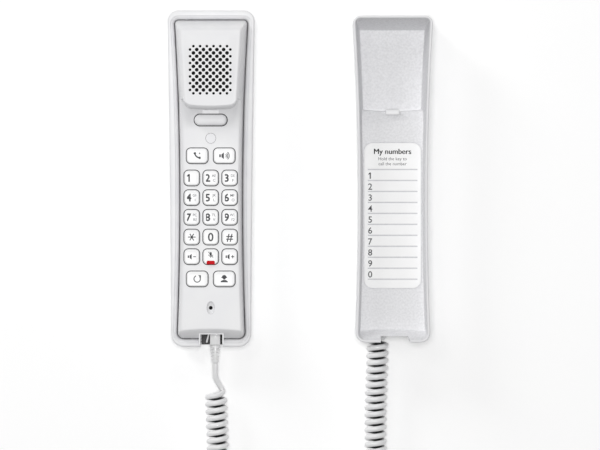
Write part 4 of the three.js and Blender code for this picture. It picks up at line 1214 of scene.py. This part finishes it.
def legend(name, x, y):
    """The parts printed on a key, and the small letters printed lighter."""
    what = name[4:]
    if what == "0":
        return [lettering("0", 5.2, x, y, 0.02)], []
    if what == "1":
        return one(4.8, x - 2.1, y), []
    if what.isdigit():
        small = []
        for row, text in enumerate(LETTERS.get(what, ())):
            small.append(lettering(text, 1.6, x + 2.1, y + 1.45 - 2.9 * row, 0.01))
        return [lettering(what, 4.8, x - 1.9, y, 0.03)], small
    parts = {
        "star": star_icon(x, y),
        "hash": [lettering("#", 4.9, x, y, 0.015)],
        "talk": talk_icon(x, y),
        "speaker": speaker_icon(x - 0.5, y) + waves(x - 0.1, y),
        "volume_down": speaker_icon(x - 0.3, y, 0.85) + [stroke(np.array([(x + 0.9, y), (x + 2.6, y)]), 0.5)],
        "volume_up": speaker_icon(x - 0.3, y, 0.85) + [
            stroke(np.array([(x + 0.9, y), (x + 2.9, y)]), 0.5),
            stroke(np.array([(x + 1.9, y - 1), (x + 1.9, y + 1)]), 0.5)],
        "mute": mute_icon(x, y + 1.0),
        "redial": redial_icon(x, y),
        "service": service_icon(x, y),
    }
    return parts[what], []


def print_piece(name, parts, z, ink, body):
    """Printed shapes, flat plates whose top stands a hair above the surface at z."""
    points, faces = merged(parts)
    points[:, 2] = np.where(points[:, 2] > 0, z + PRINT_PROUD, z - PRINT_SINK)
    piece = mesh_piece(name, points, faces, ink, 30)
    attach(piece, body)
    return piece


def make_legends():
    """Prints each key's sign, and its small letters in the lighter ink."""
    for name in key_names():
        x, y = middle(name)[:2]
        main, small = legend(name, x, y)
        print_piece(name + "_legend", main, KEY_TOP - KEY_DISH, INK, name)
        if small:
            print_piece(name + "_letters", small, KEY_TOP - KEY_DISH, LETTER_INK, name)


CARD_RADIUS = 5.2
FIRST_RULE = 16.5
RULE_PITCH = 6.84
RULE_HALF = 15.5
RULE_WIDTH = 0.8
DIGIT_HEIGHT = 3.9


def make_card():
    """The card, eleven rules at an even pitch, a digit in each row between them, and a title."""
    low, high = box_mm("number_card")
    x = CRADLE_X
    plan = rounded(high[0] - low[0], high[1] - low[1], CARD_RADIUS, x, (low[1] + high[1]) / 2, 12)
    card = mesh_piece("number_card_sheet", *prism(plan, low[2], high[2]), CARD)
    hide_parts("number_card")
    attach(card, "cradle")
    rule_top = high[1] - FIRST_RULE
    rules = [block(x - RULE_HALF, x + RULE_HALF, y - RULE_WIDTH / 2, y + RULE_WIDTH / 2, -0.5, 0.5)
             for y in rule_top - RULE_PITCH * np.arange(11)]
    print_piece("card_rules", rules, CARD_TOP_Z, RULES, "cradle")
    digits = [lettering(text, DIGIT_HEIGHT, x - 14.0, rule_top - (k + 0.56) * RULE_PITCH, 0.012)
              for k, text in enumerate("234567890", 1)]
    digits += one(DIGIT_HEIGHT, x - 14.3, rule_top - 0.56 * RULE_PITCH)
    title = [
        *[lettering("My numbers", 3.2, x + shift, high[1] - 5.2) for shift in (-0.12, 0, 0.12)],
        lettering("Hold the key to", 1.9, x, high[1] - 9.8, 0.0),
        lettering("call the number", 1.9, x, high[1] - 12.9, 0.0),
    ]
    print_piece("card_print", digits + title, CARD_TOP_Z, INK, "cradle")


# ---- the cradle ---------------------------------------------------------------------------------
def floor_height(v):
    """Height of the cradle's floor at row v: tray, a roll that falls with the square, step and pocket."""
    roll = np.clip((v - (STEP_Y - ROLL_LENGTH)) / ROLL_LENGTH, 0, 1)
    tray = TRAY_Z - ROLL_DROP * roll**2
    down = smoothstep((v - STEP_Y + STEP_SOFTNESS) / (2 * STEP_SOFTNESS))
    return tray + (POCKET_Z - tray) * down


def tray_wall(up, fillet):
    """One outline of the tray's inner wall: `up` is its share of the way from the floor's fillet to the
    rim's round, and `fillet` the angle round the fillet. The walls lean in evenly with depth."""
    depth_of = RIM_Z - POCKET_Z

    def height(v):
        low = floor_height(v) + FLOOR_FILLET
        return low + (RIM_Z - CRADLE_WALL / 2 - low) * up - FLOOR_FILLET * np.sin(fillet)

    def reach(v):
        return CRADLE_WALL + SIDE_DRAFT * (RIM_Z - height(v)) / depth_of + FLOOR_FILLET * (1 - np.cos(fillet))

    end = CRADLE_WALL + FLOOR_FILLET * (1 - np.cos(fillet))
    top = end + POCKET_END_DRAFT * (RIM_Z - height(CRADLE_HIGH[1])) / depth_of
    low = (RIM_Z - height(CRADLE_LOW[1])) / (RIM_Z - TRAY_Z)
    points = outline(CRADLE_PLAN, reach, top, end + TRAY_END_DRAFT * low, END_ARCH * low)
    return points, height(points[:, 1])


def paint_hollow_shade(tray):
    """Gives the hollow's faces the greyer ABS that is painted shade in the hollow: those above the floor's
    skin and inside the wall.
    """
    wall = CRADLE_WALL * 0.9
    centres = np.empty(3 * len(tray.data.polygons))
    tray.data.polygons.foreach_get("center", centres)
    x, y, z = centres.reshape(-1, 3).T / MM
    inside = np.abs(x - CRADLE_X) < cradle_half(y) - wall
    inside &= (y < CRADLE_HIGH[1] - wall) & (y > CRADLE_LOW[1] + wall)
    inside &= (z > floor_height(y) - TRAY_SKIN / 2) & (z < RIM_Z - CRADLE_WALL / 2)
    # the greyer ABS on these faces is painted shade inside the cradle's hollow
    tray.data.materials.append(HOLLOW_SHADE_ABS)
    tray.data.polygons.foreach_set("material_index", inside.astype(np.int32))


CARD_RECESS = dict(grow=1.3, radius=5.8, depth=0.9)
CARD_ISLAND = dict(grow=-0.5, radius=5.0)
CORD_GATE = dict(left=-7.6, right=11.8, narrow=9.4, low=-103, high=-98)
CORD_ROOM = dict(left=-17.6, right=9.4, low=-103, high=-92, top=15.2)
TAB_NOTCH = dict(width=0.8, below=1.5, above=1.6, down=1.2, up=4)
UNDER_LIP = 2.1


def around_card(grow, radius):
    """The number card's outline, grown on both sides together."""
    low, high = box_mm("number_card")
    return rounded(high[0] - low[0] + grow, high[1] - low[1] + grow, radius,
                   CRADLE_X, (low[1] + high[1]) / 2, 12)


def make_cradle():
    """The cradle as one stack of outlines: under the floor, up outside, over the rim and down inside.

    The back edge and the joint of walls and floor are quarter rounds, and the rim a half round."""
    rings = []
    hollow = outline(CRADLE_PLAN, BACK_WALL + SIDE_DRAFT / 2, BACK_WALL, BACK_WALL + TRAY_END_DRAFT)
    for share in np.linspace(1, 0, 10):
        inner = towards_spine(hollow, share)
        rings.append(lifted(inner, floor_height(inner[:, 1] + TRAY_SKIN + BULGE) - TRAY_SKIN))
    rings.append(ring(CRADLE_PLAN, BACK_WALL, UNDER_LIP))
    rings.append(ring(CRADLE_PLAN, BACK_WALL, 0))
    for a in np.linspace(0, np.pi / 2, 5):
        rings.append(ring(CRADLE_PLAN, BACK_EDGE * (1 - np.sin(a)), BACK_EDGE * (1 - np.cos(a))))
    round_off = CRADLE_WALL / 2
    for a in np.linspace(0, np.pi, 9):
        rings.append(ring(CRADLE_PLAN, round_off * (1 - np.cos(a)), RIM_Z - round_off * (1 - np.sin(a))))
    levels = [(up, 0.0) for up in (0.75, 0.5, 0.25, 0)]
    levels += [(0, fillet) for fillet in np.linspace(0, np.pi / 2, 6)[1:]]
    half = float(cradle_half(STEP_Y)) - CRADLE_WALL
    for up, fillet in levels:
        points, z = tray_wall(up, fillet)
        rings.append(lifted(bulged(points, STEP_Y, half), z))
    foot = points
    for share in np.linspace(0, 1, 12)[1:]:
        inner = towards_spine(foot, share)
        rings.append(lifted(bulged(inner, STEP_Y, half), floor_height(inner[:, 1])))
    points, faces = stack(rings, closed_ends=False)
    tray = mesh_piece("cradle_moulding", points + [CRADLE_X, 0, 0], faces, ABS, 40)
    recess = around_card(CARD_RECESS["grow"], CARD_RECESS["radius"])
    groove = tool([prism(recess, TRAY_Z - CARD_RECESS["depth"], TRAY_Z + 1)])
    combine(groove, [tool([prism(around_card(**CARD_ISLAND), TRAY_Z - 3, TRAY_Z + 3)])])
    gate = np.array([
        (CRADLE_X + CORD_GATE["left"], CORD_GATE["low"]),
        (CRADLE_X + CORD_GATE["right"], CORD_GATE["low"]),
        (CRADLE_X + CORD_GATE["narrow"], CORD_GATE["high"]),
        (CRADLE_X + CORD_GATE["left"], CORD_GATE["high"]),
    ])
    cuts = [
        groove,
        tool([prism(gate, -1, 60)]),
        tool([block(CRADLE_X + CORD_ROOM["left"], CRADLE_X + CORD_ROOM["right"],
                    CORD_ROOM["low"], CORD_ROOM["high"], -1, CORD_ROOM["top"])]),
    ]
    step = float(floor_height(np.array([TAB_Y]))[0])
    low, high = box_mm("retaining_tab")
    for x0 in (low[0] - TAB_NOTCH["width"], high[0]):
        cuts.append(tool([block(x0, x0 + TAB_NOTCH["width"],
                                TAB_Y - TAB_NOTCH["below"], TAB_Y + TAB_NOTCH["above"],
                                step - TAB_NOTCH["down"], step + TAB_NOTCH["up"])]))
    combine(tray, cuts, smooth=40)
    paint_hollow_shade(tray)
    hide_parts("cradle_tray")
    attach(tray, "cradle")


def make_tab():
    """The tab on the step that the handset hangs on: a small pill that starts below the floor."""
    low, high = box_mm("retaining_tab")
    foot = float(floor_height(np.array([high[1]]))[0]) - 0.3
    tab = mesh_piece("retaining_tab_hook", *pill(low, high, foot, 0.6, 0.45, 0.1), ABS, 40)
    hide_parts("retaining_tab")
    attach(tab, "cradle")


# ---- CAD nodes that stay --------------------------------------------------------------------------
KEPT = {
    "back_cover": ABS, "cradle_board": MASK, "handset_board": MASK, "line_jack": NYLON, "ringer": NYLON,
    "cradle_cord_jack": NYLON, "handset_cord_jack": NYLON, "hook_switch_contact": NYLON,
    "receiver_speaker": NYLON,
    "microphone": FELT, "microphone_boot": SILICONE, "key_mat": SILICONE,
    "balance_weight": ZINC, "indicator_lens": LENS, "handset_screw_1": ZINC, "handset_screw_2": ZINC,
    "cradle_screw_1": ZINC, "cradle_screw_2": ZINC, "cradle_screw_3": ZINC, "cradle_screw_4": ZINC,
}


def finish_cad_nodes():
    """Gives each CAD node that stays its material."""
    for name, material in KEPT.items():
        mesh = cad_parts[name].data
        mesh.materials.clear()
        mesh.materials.append(material)


# ---- studio -------------------------------------------------------------------------------------
def studio_light(name, size, power, place, aim):
    """A round lamp that faces its aim."""
    data = bpy.data.lights.new(name, "AREA")
    data.shape = "DISK"
    data.size = size
    data.energy = power
    light = bpy.data.objects.new(name, data)
    bpy.context.scene.collection.objects.link(light)
    light.location = place
    light.rotation_euler = (Vector(aim) - Vector(place)).to_track_quat("-Z", "Y").to_euler()


LIGHTS = [
    ("top_light", 15.5, (0, 0, 1.8)),
    ("left_light", 7, (-1.18, 1.18, 0.67)),
    ("head_light", 2, (0, 1.5, 1.0)),
    ("fill_light", 2, (-0.64, 0.64, 1.55)),
]
LAMP_SIZE = 0.6
AIM = (0, -0.02, 0)
FLOOR_SIZE = 8
FLOOR_DROP = 0.0002
FLOOR_GLOW = 0.15
SKY = 0.22


def make_studio():
    """A white floor that glows a little, as a light table does, and soft lights above it."""
    paper = surface("studio_paper", Base_Color=linear("#FFFFFF"), Roughness=0.9,
                    Emission_Color=(1, 1, 1, 1), Emission_Strength=FLOOR_GLOW)[0]
    bpy.ops.mesh.primitive_plane_add(size=FLOOR_SIZE, location=(0, 0, -FLOOR_DROP))
    floor = bpy.context.object
    floor.name = "studio_floor"
    floor.data.materials.append(paper)
    world = bpy.data.worlds.new("studio")
    world.use_nodes = True
    world.node_tree.nodes["Background"].inputs["Color"].default_value = (1, 1, 1, 1)
    world.node_tree.nodes["Background"].inputs["Strength"].default_value = SKY
    bpy.context.scene.world = world
    bpy.context.scene.view_settings.view_transform = "Standard"
    for name, power, place in LIGHTS:
        studio_light(name, LAMP_SIZE, power, place, AIM)


place_camera()
cords = make_cord()
make_studio()
make_rear_shell()
make_front_shell()
for key_name in key_names():
    make_key(key_name)
make_mute_light()
make_shade_collars()
make_felt()
make_hook_button()
make_legends()
make_card()
make_cradle()
make_tab()
boot = make_boot()
plug = make_plug("handset_plug_body", "handset_plug", "handset")
cradle_plug = make_plug("cradle_plug_body", "cradle_plug", "cradle")
finish_cad_nodes()
